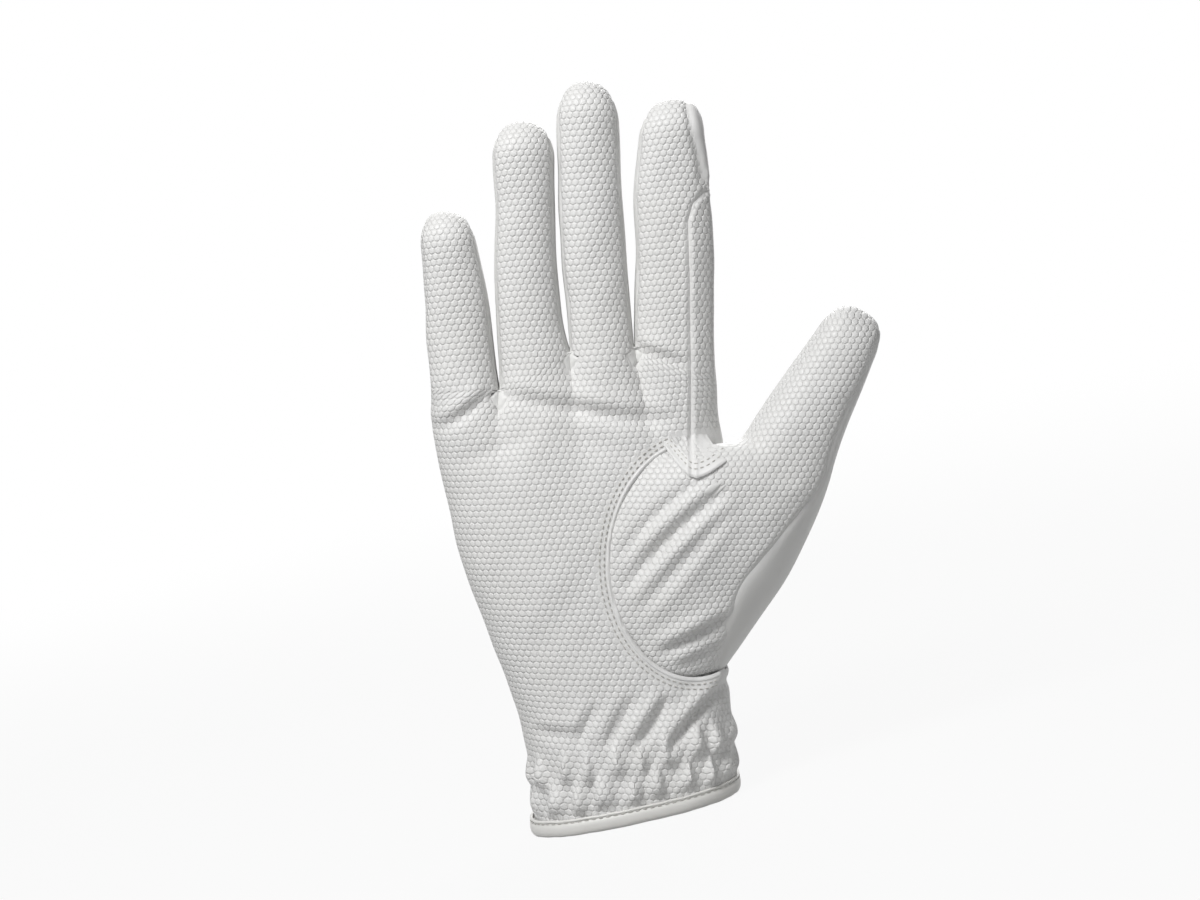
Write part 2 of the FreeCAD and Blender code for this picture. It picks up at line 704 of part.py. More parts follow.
def fourchette_pieces():
    """Side walls of the fingers that face each other, base, lower and upper lengths."""
    pieces = {}
    for first, second in zip(FINGERS, FINGERS[1:]):
        walls = []
        for digit, side in ((first, 1), (second, 0)):
            low, high = digit.base_level(), digit.bend_level(0, -1)
            start = blend_levels(low, high, FOURCHETTE_START)
            walls.append(digit.fourchette(side, start, high, 4))
        pieces[f"{first.name}_{second.name}_fourchette_base"] = Part.makeCompound(walls)
    for digit, sides in ((LITTLE, (1,)), (RING, (0, 1)), (MIDDLE, (0, 1)), (INDEX, (0,))):
        lower = []
        upper = []
        for side in sides:
            lower.append(digit.fourchette(side, digit.bend_level(0, 1), digit.bend_level(1, -1), 4))
            foot = digit.bend_level(1, 1)
            upper.append(digit.fourchette(side, foot, digit.shoulder_level(), 4, FOURCHETTE_POINT))
        word = "fourchette" if len(sides) == 1 else "fourchettes"
        pieces[f"{digit.name}_{word}_lower"] = Part.makeCompound(lower)
        pieces[f"{digit.name}_{word}_upper"] = Part.makeCompound(upper)
    return pieces


def side_patch_pieces():
    """Lower and upper lengths of the patch on the forefinger's thumb side."""
    back_edge = 180 - WALL_ANGLE - EDGE_ANGLE
    angles = spread(SIDE_PATCH_ANGLE, back_edge, 7)

    def narrowing(turn):
        edge = mix(SIDE_PATCH_ANGLE, WALL_ANGLE + EDGE_ANGLE, min(1.0, turn * SIDE_PATCH_TAPER))
        return spread(edge, back_edge, 7)

    lower = INDEX.band(angles, (INDEX.bend_level(0, 1), INDEX.bend_level(1, -1)), 4)
    upper = INDEX.cap(narrowing, INDEX.bend_level(1, 1), 4, 5, FOURCHETTE_POINT)
    return {"index_side_patch_lower": sewn([lower]), "index_side_patch_upper": sewn([upper])}


def palm_pieces():
    """Palm panel with its thumb hole, side patch and quirks let in."""
    whole = leather_body(0)
    oval = [thumb_seam(a) for a in spread(-90, 90, 25)]
    hole = prism([(BEYOND, oval[0][1])] + oval + [(BEYOND, oval[-1][1])], -BEYOND, BEYOND)
    foot, top = oval[0][1], INDEX.hinges[0] + BEYOND

    def patch_prism(edge):
        return prism([(edge, foot), (BEYOND, foot), (BEYOND, top), (edge, top)], -BEYOND, BEYOND)

    pieces = {"index_side_patch_base": whole.common(patch_prism(SIDE_PATCH_X + SEAM_GAP)).cut(hole)}
    panel = whole.cut(hole).cut(patch_prism(SIDE_PATCH_X))
    for first, second, (x, z) in zip(FINGERS, FINGERS[1:], (LITTLE_RING, RING_MIDDLE, MIDDLE_INDEX)):
        def kite(grow):
            half, foot = QUIRK_WIDTH / 2 + grow, QUIRK_HEIGHT + 1.5 * grow
            return prism([(x, z - foot), (x + half, z - foot / 2), (x + QUIRK_TOP, z - QUIRK_DROP + grow),
                          (x - QUIRK_TOP, z - QUIRK_DROP + grow), (x - half, z - foot / 2)], -BEYOND, 0.0)
        pieces[f"{first.name}_{second.name}_quirk"] = whole.common(kite(0.0))
        panel = panel.cut(kite(SEAM_GAP))
    pieces["palm_panel"] = panel
    return pieces


def thumb_pieces():
    """Feet of the two thumb panels and the gusset at the thumb's crotch."""
    front = thumb_base(spread(-90, 90, 11), THUMB.bend_level(0, -1))
    back = thumb_base(spread(90 + THUMB_EDGE, 270 - THUMB_EDGE, 16), THUMB.bend_level(0, -1))
    x, z = thumb_seam(-90)
    x, z = x - GUSSET_WIDTH / 2, z - GUSSET_HEIGHT / 2

    def diamond(grow):
        half, rise = GUSSET_WIDTH / 2 + grow, GUSSET_HEIGHT / 2 + grow
        return prism([(x, z - rise), (x + half, z), (x, z + rise), (x - half, z)], -BEYOND, 0.0)

    return {
        "thumb_front_base": front.cut(diamond(SEAM_GAP)),
        "thumb_back_base": back,
        "thumb_gusset": front.common(diamond(0.0)),
    }


def cuff_pieces():
    """Elastic, bindings and closure of the cuff."""
    pieces = {}
    tapes = []
    for height in ELASTIC_HEIGHTS:
        face = -LEATHER - 2 * HEM_CLEARANCE
        tapes.append(cuff_band(spread(-ELASTIC_ANGLE, ELASTIC_ANGLE, 13), (height, height + ELASTIC_WIDTH),
                               (face - ELASTIC_THICKNESS, face)))
    pieces["wrist_elastic"] = Part.makeCompound(tapes)
    inside, outside = -LEATHER - HEM_CLEARANCE, HEM_CLEARANCE
    edge = -HEM_EDGE_CLEARANCE
    profile = [(outside + HEM_TAPE, edge - HEM_TAPE), (outside + HEM_TAPE, HEM_HEIGHT),
               (outside, HEM_HEIGHT), (outside, edge), (inside, edge),
               (inside, HEM_HEIGHT), (inside - HEM_TAPE, HEM_HEIGHT), (inside - HEM_TAPE, edge - HEM_TAPE)]
    binding = cuff_profile(spread(-180, 180, HEM_COLUMNS), profile)
    gate = cuff_prism(arch(SLIT_HALF_WIDTH, SLIT_FOOT, SLIT_HEIGHT, 0.0))
    pieces["hem_binding"] = binding.cut(gate)
    back = spread(150, 210, 9)
    slit_top = SLIT_HEIGHT + 2 * SLIT_TAPE_WIDTH
    thick = cuff_band(back, (HEM_HEIGHT + HEM_CLEARANCE, slit_top), (inside - HEM_TAPE, outside + HEM_TAPE))
    ring = cuff_prism(arch(SLIT_HALF_WIDTH, SLIT_FOOT, SLIT_HEIGHT, SLIT_TAPE_WIDTH)).cut(
        cuff_prism(arch(SLIT_HALF_WIDTH, SLIT_FOOT, SLIT_HEIGHT, -HEM_TAPE)))
    groove = cuff_band(back, (0.0, slit_top + SLIT_TAPE_WIDTH), (inside, outside))
    groove = groove.cut(cuff_prism(arch(SLIT_HALF_WIDTH, SLIT_FOOT, SLIT_HEIGHT, edge)))
    pieces["slit_binding"] = thick.common(ring).cut(groove)
    pieces["back_panel"] = leather_body(1).cut(gate)
    return pieces


def tab_outline(start, end, width, radius):
    """Outline of a strip across the cuff whose far end is rounded."""
    low, high = TAB_MIDDLE - width / 2, TAB_MIDDLE + width / 2
    points = [(start, low), (start, high)]
    for step in range(7):
        angle = math.radians(90 + 90 * step / 6)
        points.append((end + radius + radius * math.cos(angle), high - radius + radius * math.sin(angle)))
    for step in range(7):
        angle = math.radians(180 + 90 * step / 6)
        points.append((end + radius + radius * math.cos(angle), low + radius + radius * math.sin(angle)))
    return points


def tab_pieces():
    """Hook-and-loop closure over the slit."""
    angles = spread(130, 235, 15)
    heights = (TAB_MIDDLE - TAB_WIDTH, TAB_MIDDLE + TAB_WIDTH)
    loop_top = HEM_CLEARANCE + PAD_THICKNESS
    hook_foot = loop_top + HEM_CLEARANCE
    tab_foot = hook_foot + PAD_THICKNESS + HEM_EDGE_CLEARANCE
    tab_top = tab_foot + TAB_THICKNESS
    end = TAB_HINGE_X - TAB_LENGTH
    pad_width = TAB_WIDTH - 2 * PAD_MARGIN

    def layer(low, high, outline):
        return cuff_band(angles, heights, (low, high)).common(cuff_prism(outline))

    tab = layer(tab_foot, tab_top, tab_outline(TAB_HINGE_X - HINGE_GAP / 2, end, TAB_WIDTH, TAB_RADIUS))
    hook_end = end + PAD_MARGIN
    pad_start, pad_radius = hook_end + PAD_LENGTH, TAB_RADIUS - PAD_MARGIN
    hook = layer(hook_foot, hook_foot + PAD_THICKNESS,
                 tab_outline(pad_start, hook_end, pad_width, pad_radius))
    loop = layer(HEM_CLEARANCE, loop_top,
                 tab_outline(pad_start, hook_end - PAD_MARGIN / 2, pad_width, pad_radius))
    anchor = layer(HEM_CLEARANCE, tab_top,
                   tab_outline(TAB_HINGE_X + TAB_ANCHOR, TAB_HINGE_X + HINGE_GAP / 2, TAB_WIDTH, HINGE_GAP))
    return {"closure_tab": tab, "hook_pad": hook, "loop_pad": loop, "tab_anchor": anchor}


def build():
    """All pieces by node name, in the hand frame."""
    nodes = {}
    nodes.update(palm_pieces())
    nodes.update(cuff_pieces())
    nodes.update(tab_pieces())
    nodes.update(thumb_pieces())
    nodes.update(fourchette_pieces())
    nodes.update(side_patch_pieces())
    for digit in FINGERS + [THUMB]:
        for name, shape in digit_pieces(digit).items():
            nodes[f"{digit.name}_{name}"] = shape
    return nodes


os.makedirs("parts", exist_ok=True)
NODES = build()
for node, shape in sorted(NODES.items()):
    shape.rotate(Vector(0, 0, 0), Vector(0, 1, 0), HAND_LEAN)
    shape.exportStep(f"parts/{node}.step")
    print(f"{node:32s} solids {len(shape.Solids)} valid {shape.isValid()} volume {shape.Volume:9.1f}")
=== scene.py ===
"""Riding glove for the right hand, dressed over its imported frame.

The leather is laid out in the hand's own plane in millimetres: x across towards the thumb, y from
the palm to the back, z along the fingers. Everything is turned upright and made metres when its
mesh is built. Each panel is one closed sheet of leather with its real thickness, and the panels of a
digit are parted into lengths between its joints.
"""
import json
import logging
import math
from dataclasses import dataclass
from enum import Enum
from functools import cache
from typing import Callable, Optional, Sequence

import bmesh
import bpy
import numpy as np
from mathutils import Matrix, Vector


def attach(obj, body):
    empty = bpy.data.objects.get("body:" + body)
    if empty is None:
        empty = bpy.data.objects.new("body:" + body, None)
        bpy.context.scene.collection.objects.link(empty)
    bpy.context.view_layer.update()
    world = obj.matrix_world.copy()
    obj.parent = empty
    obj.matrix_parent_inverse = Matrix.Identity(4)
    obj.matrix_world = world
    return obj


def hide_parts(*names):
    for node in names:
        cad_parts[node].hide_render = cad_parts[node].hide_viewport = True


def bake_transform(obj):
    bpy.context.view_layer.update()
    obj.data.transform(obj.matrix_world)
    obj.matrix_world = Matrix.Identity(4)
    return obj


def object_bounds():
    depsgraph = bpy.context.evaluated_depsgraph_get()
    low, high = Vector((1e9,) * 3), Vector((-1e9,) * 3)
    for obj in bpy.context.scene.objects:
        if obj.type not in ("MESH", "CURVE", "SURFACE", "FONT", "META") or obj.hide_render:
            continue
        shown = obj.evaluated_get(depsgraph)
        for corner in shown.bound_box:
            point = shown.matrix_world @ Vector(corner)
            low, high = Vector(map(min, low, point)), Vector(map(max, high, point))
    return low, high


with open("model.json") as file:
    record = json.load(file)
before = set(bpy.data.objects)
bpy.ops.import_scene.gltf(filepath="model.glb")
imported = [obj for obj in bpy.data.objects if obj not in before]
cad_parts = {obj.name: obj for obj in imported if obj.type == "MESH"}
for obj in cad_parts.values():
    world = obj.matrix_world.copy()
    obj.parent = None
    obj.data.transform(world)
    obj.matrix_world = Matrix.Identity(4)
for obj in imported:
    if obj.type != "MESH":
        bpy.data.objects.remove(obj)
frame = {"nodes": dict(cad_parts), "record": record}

LOG = logging.getLogger("glove")
MM = 0.001
HAND_LEAN = math.radians(12.4)   # the hand's plane is turned by this about Y to stand on its cuff
LEAN_COS, LEAN_SIN = math.cos(HAND_LEAN), math.sin(HAND_LEAN)
SQUARENESS = 2.4                 # 2 is an ellipse, more is boxier
WALL_ANGLE = 60.0                # where the palm side turns into a side wall
LEATHER = 1.0                    # thickness of the hide
CAD_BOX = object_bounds()

Array = np.ndarray
Value = float | np.ndarray
Pair = tuple[float, float]
Level = Callable[[float, float], float]
Plane = Callable[[Array, Array], Array]
Object = bpy.types.Object
Socket = bpy.types.NodeSocket


# ---- Small helpers ----

def mix(a: Value, b: Value, t: Value) -> Value:
    """Value between a and b; works for numbers and arrays."""
    return a * (1.0 - t) + b * t


def spread(start: float, end: float, count: int) -> list[float]:
    """Evenly spaced values from start to end."""
    return [mix(start, end, i / (count - 1)) for i in range(count)]


def smoothstep(low: float, high: float, x: Array) -> Array:
    """Smooth step of x from 0 at low to 1 at high; low may be the larger."""
    t = np.clip((x - low) / (high - low), 0.0, 1.0)
    return t * t * (3.0 - 2.0 * t)


def bell(x: Array, middle: float, width: float) -> Array:
    """Smooth bump of height 1 at the middle."""
    return np.exp(-((x - middle) / width) ** 2)


def plane(points: Array) -> tuple[Array, Array]:
    """Places across and along of points in the hand's plane."""
    return points[..., 0], points[..., 2]


def stood(x: Array, z: Array) -> tuple[Array, Array]:
    """Places of the hand's plane as places across and up, level with the cuff's edge."""
    return x * LEAN_COS + z * LEAN_SIN, z * LEAN_COS - x * LEAN_SIN


def upright(points: Array) -> Array:
    """Turn points from the hand's plane, in millimetres, to the row frame, in metres."""
    across, up = stood(*plane(points))
    return np.stack([across, points[..., 1], up], -1) * MM


def signed_power(value: float, exponent: float) -> float:
    """The value's size to a power, with its sign kept."""
    return math.copysign(abs(value) ** exponent, value)


def section(angle: float) -> Pair:
    """Point of the unit section: 0 faces the palm side, 90 the thumb side, 180 the back."""
    turn, power = math.radians(angle), 2 / SQUARENESS
    return signed_power(math.sin(turn), power), -signed_power(math.cos(turn), power)


def section_angle(across: float, most: float) -> float:
    """Angle on the palm side of a place across the unit section, held within most of its edge."""
    sine = min(most, abs(across)) ** (SQUARENESS / 2)
    return math.copysign(math.degrees(math.asin(sine)), across)


def smooth_curve(points: Sequence[Pair]) -> Callable[[float], float]:
    """Smooth function through (place, value) pairs, level with its ends beyond them.

    Args:
        points: the pairs, in rising order of place.

    Returns:
        A function of the place.
    """
    xs, ys = zip(*points)
    last = len(xs) - 1
    slopes = []
    for i in range(len(xs)):
        low, high = max(0, i - 1), min(last, i + 1)
        slopes.append((ys[high] - ys[low]) / (xs[high] - xs[low]))

    def value(x: float) -> float:
        """The curve's value at a place."""
        x = min(max(x, xs[0]), xs[-1])
        i = max(j for j in range(last) if xs[j] <= x or j == 0)
        span = xs[i + 1] - xs[i]
        t = (x - xs[i]) / span
        start = (1 + 2 * t) * (1 - t) ** 2 * ys[i] + t * (1 - t) ** 2 * span * slopes[i]
        end = t * t * (3 - 2 * t) * ys[i + 1] - t * t * (1 - t) * span * slopes[i + 1]
        return start + end

    return value


def spline_basis(count: int, params: Array) -> Array:
    """Weights of a clamped uniform spline of degree 3, or less with few points.

    Args:
        count: number of control points.
        params: places from 0 to 1.

    Returns:
        Array of shape (places, control points).
    """
    degree = min(3, count - 1)
    inner = list(range(count - degree + 1))
    knots = np.array([0] * degree + inner + [inner[-1]] * degree, float)
    t = np.clip(params * inner[-1], 0.0, inner[-1] - 1e-9)
    table = [((knots[i] <= t) & (t < knots[i + 1])).astype(float) for i in range(len(knots) - 1)]
    for d in range(1, degree + 1):
        nxt = []
        for i in range(len(knots) - 1 - d):
            left = knots[i + d] - knots[i]
            right = knots[i + d + 1] - knots[i + 1]
            value = np.zeros_like(t)
            if left > 0:
                value = value + (t - knots[i]) / left * table[i]
            if right > 0:
                value = value + (knots[i + d + 1] - t) / right * table[i + 1]
            nxt.append(value)
        table = nxt
    return np.stack(table, -1)


def along_net(net: Array, params: Array) -> Array:
    """Points of a net at places along its first axis."""
    return np.tensordot(spline_basis(net.shape[0], params), net, axes=(1, 0))


def across_net(net: Array, columns: int) -> Array:
    """The net with its rows made of evenly placed points."""
    return np.swapaxes(along_net(np.swapaxes(net, 0, 1), np.linspace(0.0, 1.0, columns)), 0, 1)


def even_params(net: Array, count: int) -> Array:
    """Places along a net's first axis that step evenly along its middle line.

    Args:
        net: control net, rows first.
        count: number of places.

    Returns:
        The places, from 0 to 1.
    """
    fine = np.linspace(0.0, 1.0, 801)
    line = along_net(net, fine).mean(axis=1)
    length = np.concatenate([[0.0], np.cumsum(np.linalg.norm(np.diff(line, axis=0), axis=1))])
    return np.interp(np.linspace(0.0, length[-1], count), length, fine)


def rows_of(net: Array, step: float, columns: int, params: Optional[Array] = None) -> Array:
    """Fine grid of points over a control net.

    Args:
        net: control net (rows, columns, 3).
        step: wanted distance between rows.
        columns: number of columns.
        params: places of the rows, where they are already chosen.

    Returns:
        Array (rows, columns, 3).
    """
    if params is None:
        fine = along_net(net, np.linspace(0.0, 1.0, 201)).mean(axis=1)
        length = float(np.linalg.norm(np.diff(fine, axis=0), axis=1).sum())
        params = even_params(net, max(4, int(round(length / step)) + 1))
    return across_net(along_net(net, params), columns)


def with_rows(grid: Array, count: int) -> Array:
    """The grid with its rows spread anew, by straight steps between them."""
    places = np.linspace(0, len(grid) - 1, count)
    low = np.clip(places.astype(int), 0, len(grid) - 2)
    part = (places - low).reshape(-1, *([1] * (grid.ndim - 1)))
    return grid[low] * (1 - part) + grid[low + 1] * part


def grid_normals(points: Array) -> Array:
    """Unit normals of a grid whose columns run with the section angle and whose rows run up.

    Args:
        points: grid of points.

    Returns:
        Array of the same shape; each normal is evened out with its neighbours by area.
    """
    normal = np.cross(np.gradient(points, axis=1), np.gradient(points, axis=0))
    for axis in (0, 1):
        edged = np.concatenate([np.take(normal, [0], axis), normal, np.take(normal, [-1], axis)], axis)
        count = normal.shape[axis]
        normal = sum(np.take(edged, range(k, k + count), axis) for k in range(3))
    return normal / np.maximum(np.linalg.norm(normal, axis=-1, keepdims=True), 1e-12)


def segment_distance(x: Array, z: Array, path: Sequence[Pair]) -> tuple[Array, Array, Array]:
    """Distance from points to a polyline in the hand's plane.

    Args:
        x: places across.
        z: places along.
        path: corner points.

    Returns:
        Unsigned distance, signed distance (positive on the left of the path) and the share of
        the path's length at the nearest point.
    """
    best = np.full(x.shape, 1e9)
    signed = np.zeros(x.shape)
    share = np.zeros(x.shape)
    lengths = [math.dist(a, b) for a, b in zip(path, path[1:])]
    total = sum(lengths)
    done = 0.0
    for (ax, az), (bx, bz), length in zip(path, path[1:], lengths):
        ux, uz = (bx - ax) / length, (bz - az) / length
        along = np.clip((x - ax) * ux + (z - az) * uz, 0.0, length)
        dx, dz = x - (ax + ux * along), z - (az + uz * along)
        d = np.hypot(dx, dz)
        side = ux * (z - az) - uz * (x - ax)
        closer = d < best
        best = np.where(closer, d, best)
        signed = np.where(closer, np.copysign(d, side), signed)
        share = np.where(closer, (done + along) / total, share)
        done += length
    return best, signed, share


def curved(path: Sequence[Pair], count: int = 24) -> list[Pair]:
    """Smooth path through a few corner points."""
    net = np.array(path, float)[:, None, :]
    points = along_net(net, np.linspace(0.0, 1.0, count))[:, 0]
    return [(float(a), float(b)) for a, b in points]


def ripple(x: Array, z: Array, size: float, seed: int) -> Array:
    """Soft irregular waves of about unit height.

    Args:
        x: places across.
        z: places along.
        size: rough width of a wave in millimetres.
        seed: chooses the waves.

    Returns:
        Heights between about -1 and 1.
    """
    rng = np.random.default_rng(seed)
    total = np.zeros_like(x)
    for _ in range(7):
        turn = rng.uniform(0, math.pi)
        rate = 2 * math.pi / (size * rng.uniform(1.4, 3.0))
        total += np.sin((x * math.cos(turn) + z * math.sin(turn)) * rate + rng.uniform(0, 6.28))
    return total / 3.2


# ---- The hand that fills the glove ----

class Side(Enum):
    """Which wall of a digit is meant."""

    LITTLE = 0
    THUMB = 1


SIGNS = (-1, 1)   # way out of each side


@dataclass
class Station:
    """One level of the palm: centre in the hand's plane, half sizes and tilt of its section."""

    x: float
    z: float
    half_width: float
    half_depth: float
    tilt: float

    def point(self, angle: float, offset: float = 0.0) -> Array:
        """Point of the rounded section, or offset out from it.

        Args:
            angle: section angle in degrees.
            offset: distance out from the skin.

        Returns:
            The point in the hand's plane.
        """
        ux, uy = section(angle)
        tilt = math.radians(self.tilt)
        across = ux * (self.half_width + offset)
        return np.array([self.x + across * math.cos(tilt), uy * (self.half_depth + offset),
                         self.z + across * math.sin(tilt)])


PALM = (
    Station(0.0, 0.0, 32.5, 21.5, 12.4),
    Station(-1.0, 17.2, 32.3, 21.0, 12.0),
    Station(-3.4, 34.2, 32.6, 20.2, 11.1),
    Station(-8.2, 57.5, 37.3, 18.8, 7.5),
    Station(-13.0, 81.0, 42.4, 17.6, 4.5),
    Station(-16.2, 109.0, 45.2, 16.2, 1.5),
    Station(-18.4, 124.0, 45.2, 14.6, 0.5),
)
PALM_STRIPS = (0.0, 0.25, 0.5, 0.73, 1.0)


@dataclass
class Digit:
    """A finger or thumb: its outline, depth and tip along its own axis."""

    name: str
    edges: tuple[tuple[float, float, float, float], ...]
    tip: Pair
    free: tuple[bool, bool]
    seam_angle: float = WALL_ANGLE
    crotches: Optional[tuple[Pair, Pair]] = None
    lean: float = 0.0
    forward: float = 0.0
    base_depth: float = 11.5
    wall_bulge: float = 0.60
    bulge_ramp: float = 9.0
    curl: float = 4.0
    tip_corner: float = 0.81
    tip_corner_height: float = 0.62
    levels: int = 30

    def __post_init__(self) -> None:
        """Work out the axis and the curves of the outline."""
        lean = math.radians(self.lean)
        self.seam = section(self.seam_angle)
        self.across = np.array([math.cos(lean), 0.0, -math.sin(lean)])
        self.along = np.array([math.sin(lean), 0.0, math.cos(lean)])
        left, right, depth = ([(e[0], e[k]) for e in self.edges] for k in (1, 2, 3))
        if self.crotches:
            left.insert(0, (self.crotches[0][1], self.crotches[0][0]))
            right.insert(0, (self.crotches[1][1], self.crotches[1][0]))
            middle = (self.crotches[0][1] + self.crotches[1][1]) / 2
            depth = [(0.0, self.base_depth)] + [(z - middle, d) for z, d in depth]
        self.left = smooth_curve(left)
        self.right = smooth_curve(right)
        self.depth = smooth_curve(depth)
        self.shoulder = self.edges[-1][0]

    def base_height(self, x: float) -> float:
        """Height of the crotch line at x."""
        if not self.crotches:
            return 0.0
        (x0, z0), (x1, z1) = self.crotches
        return mix(z0, z1, (x - x0) / (x1 - x0))

    def rise(self, x: float, z: float) -> float:
        """Height above the crotch line."""
        return z - self.base_height(x)

    def lean_in(self, x: float, z: float) -> float:
        """How far the middle of the section lies in front of the hand's middle."""
        if not self.crotches:
            return self.forward
        share = max(0.0, self.rise(x, z)) / (self.tip[1] - self.crotches[0][1])
        return self.curl * share ** 2

    def bulge(self, side: int, x: float, z: float) -> float:
        """How far a side wall stands out beyond its seams."""
        if not self.crotches:
            return (self.right(z) - self.left(z)) / 2 * (1 - self.seam[0])
        if self.free[side]:
            return self.wall_bulge
        return self.wall_bulge * min(1.0, max(0.0, self.rise(x, z) / self.bulge_ramp))

    def seams(self, z: float) -> Pair:
        """Places across of the two seam lines."""
        left, right = self.left(z), self.right(z)
        return left + self.bulge(0, left, z), right - self.bulge(1, right, z)

    def skin(self, angle: float, z: float) -> Pair:
        """Skin at a section angle and a height.

        Args:
            angle: section angle in degrees.
            z: height along the digit.

        Returns:
            Place across, and depth.
        """
        ux, uy = section(angle)
        left, right = self.seams(z)
        share = ux / self.seam[0]
        x = mix(left, right, (min(1.0, max(-1.0, share)) + 1) / 2)
        if abs(ux) > self.seam[0] + 1e-6:
            side = 1 if ux > 0 else 0
            wall = self.bulge(side, x, z)
            x += math.copysign(wall * (abs(ux) - self.seam[0]) / (1 - self.seam[0]), ux)
        return x, self.depth(self.rise(x, z)) * uy - self.lean_in(x, z)

    def place(self, x: float, y: float, z: float) -> Array:
        """From (across, depth, along) to the hand's plane."""
        return self.across * x + np.array([0.0, y, 0.0]) + self.along * z

    def settled(self, at: Callable[[float], Pair], level: Level, z: float) -> Array:
        """Point where a line on the skin, given by height, crosses a level."""
        x = y = 0.0
        for _ in range(self.levels):
            x, y = at(z)
            z = level(x, y)
        return self.place(x, y, z)

    def on_level(self, angle: float, level: Level) -> Array:
        """Point of the skin at a section angle on a level."""
        start = level((self.left(0) + self.right(0)) / 2, 0.0)
        return self.settled(lambda z: self.skin(angle, z), level, start)

    def wall_point(self, side: int, share: float, level: Level) -> Array:
        """Point of a sewn-in side wall.

        Args:
            side: 0 or 1, the little finger's or the thumb's side.
            share: -1 at its palm edge to 1 at its back edge.
            level: the height at a place.

        Returns:
            The point in the hand's plane.
        """
        def at(z: float) -> Pair:
            """(across, depth) of the wall at a height."""
            edge = self.seams(z)[side]
            reach = self.depth(self.rise(edge, z)) * -self.seam[1]
            out = SIGNS[side] * self.bulge(side, edge, z) * (1 - share ** 2)
            return edge + out, share * reach - self.lean_in(edge, z)
        return self.settled(at, level, level(0.0, 0.0))

    def shaft_level(self, t: float) -> Level:
        """Level at a share of the way from the crotch line to the shoulder."""
        return lambda x, y: mix(self.base_height(x), self.shoulder, t)

    def tip_point(self, angle: float, turn: float) -> Array:
        """Point of the rounded tip; turn 0 is its foot and 1 the seam over the top.

        Args:
            angle: section angle in degrees.
            turn: share of the way over the tip.

        Returns:
            The point in the hand's plane.
        """
        z = self.shoulder
        ux, uy = section(angle)
        left, right = self.seams(z)
        seam_x, seam_y = self.seam
        depth = self.depth(self.rise(mix(left, right, 0.5), z))
        length = self.tip[1] - z
        width = (right - left) / 2 * (1 - (1 - self.tip_corner) * turn ** 2)
        corner_y = depth * -seam_y * (1 - turn ** 2)
        corner_z = z + length * self.tip_corner_height * turn
        ridge_y = depth * math.cos(math.radians(90 * turn))
        ridge_z = z + length * math.sin(math.radians(90 * turn))
        share = min(1.0, max(-1.0, ux / seam_x))
        x = mix((left + right) / 2, self.tip[0], turn) + share * width
        if abs(ux) > seam_x + 1e-6:
            side = 1 if ux > 0 else 0
            wall = self.bulge(side, x, z) * (1 - turn)
            x += math.copysign(wall * (abs(ux) - seam_x) / (1 - seam_x), ux)
            y = corner_y * uy / -seam_y if seam_y else 0.0
            return self.place(x, y - self.lean_in(x, corner_z), corner_z)
        rise = (abs(uy) + seam_y) / (1 + seam_y)
        y = math.copysign(corner_y + rise * (ridge_y - corner_y), uy)
        height = mix(corner_z, ridge_z, rise)
        return self.place(x, y - self.lean_in(x, height), height)

    def panel_net(self, angles: Sequence[float], end: float = 1.0, rows: int = 16) -> Array:
        """Control net of a panel from the crotch line up over the tip.

        Args:
            angles: section angles of its columns.
            end: share of the way over the tip at which it stops.
            rows: control rows on the shaft.

        Returns:
            Net of points (rows, columns, 3).
        """
        net = [[self.on_level(a, self.shaft_level(t)) for a in angles] for t in spread(0, 1, rows)]
        net += [[self.tip_point(a, turn) for a in angles] for turn in spread(0.0, end, 7)[1:]]
        return np.array(net)

    def wall_net(self, side: int, end: float = 0.7, rows: int = 16) -> Array:
        """Control net of a side wall from the crotch line to its point in the rounded tip."""
        shares = spread(-1.0, 1.0, 5)
        net = [[self.wall_point(side, s, self.shaft_level(t)) for s in shares] for t in spread(0, 1, rows)]
        angles = [SIGNS[side] * (90 + share * (90 - self.seam_angle)) for share in shares]
        net += [[self.tip_point(angle, turn) for angle in angles] for turn in spread(0.0, end, 4)[1:]]
        points = np.array(net)
        return points if side == Side.THUMB.value else points[:, ::-1]


ULNAR_FOOT = (-63.6, 131.4)
LITTLE_RING = (-42.2, 131.4)
RING_MIDDLE = (-20.5, 143.2)
MIDDLE_INDEX = (-0.6, 144.8)
RADIAL_FOOT = (24.3, 136.0)

LITTLE = Digit("little", ((145, -64.6, -44.0, 10.2), (160, -65.1, -45.6, 9.6), (176, -66.5, -49.0, 8.8)),
               (-58.4, 186.3), (True, False), crotches=(ULNAR_FOOT, LITTLE_RING))
RING = Digit("ring", ((152, -43.2, -22.6, 10.6), (170, -43.9, -24.3, 10.2), (188, -43.4, -25.1, 9.6),
                      (203, -44.4, -25.0, 9.2)),
             (-34.9, 214.0), (False, False), crotches=(LITTLE_RING, RING_MIDDLE))
MIDDLE = Digit("middle", ((156, -21.6, -1.7, 10.8), (172, -23.2, -2.9, 10.5), (195, -24.2, -4.5, 10.0),
                          (214, -24.6, -5.3, 9.2)),
               (-15.2, 226.0), (False, False), crotches=(RING_MIDDLE, MIDDLE_INDEX))
INDEX = Digit("index", ((152, -0.9, 23.9, 11.0), (171, -0.3, 24.0, 10.6), (192, -0.9, 22.4, 10.0),
                        (209, 0.6, 20.6, 9.2)),
              (11.3, 220.6), (False, True), crotches=(MIDDLE_INDEX, RADIAL_FOOT))
FINGERS = (LITTLE, RING, MIDDLE, INDEX)
THUMB = Digit("thumb", ((100, -27.8, 9.0, 14.5), (112, -27.2, 5.8, 13.5), (122, -26.4, 2.9, 12.6),
                        (135, -25.2, 0.0, 11.4), (147, -23.8, -1.2, 10.6), (158, -22.6, -2.6, 9.8)),
              (-12.7, 170.2), (True, True), seam_angle=90.0, lean=28.4, forward=6.0, tip_corner=0.7)


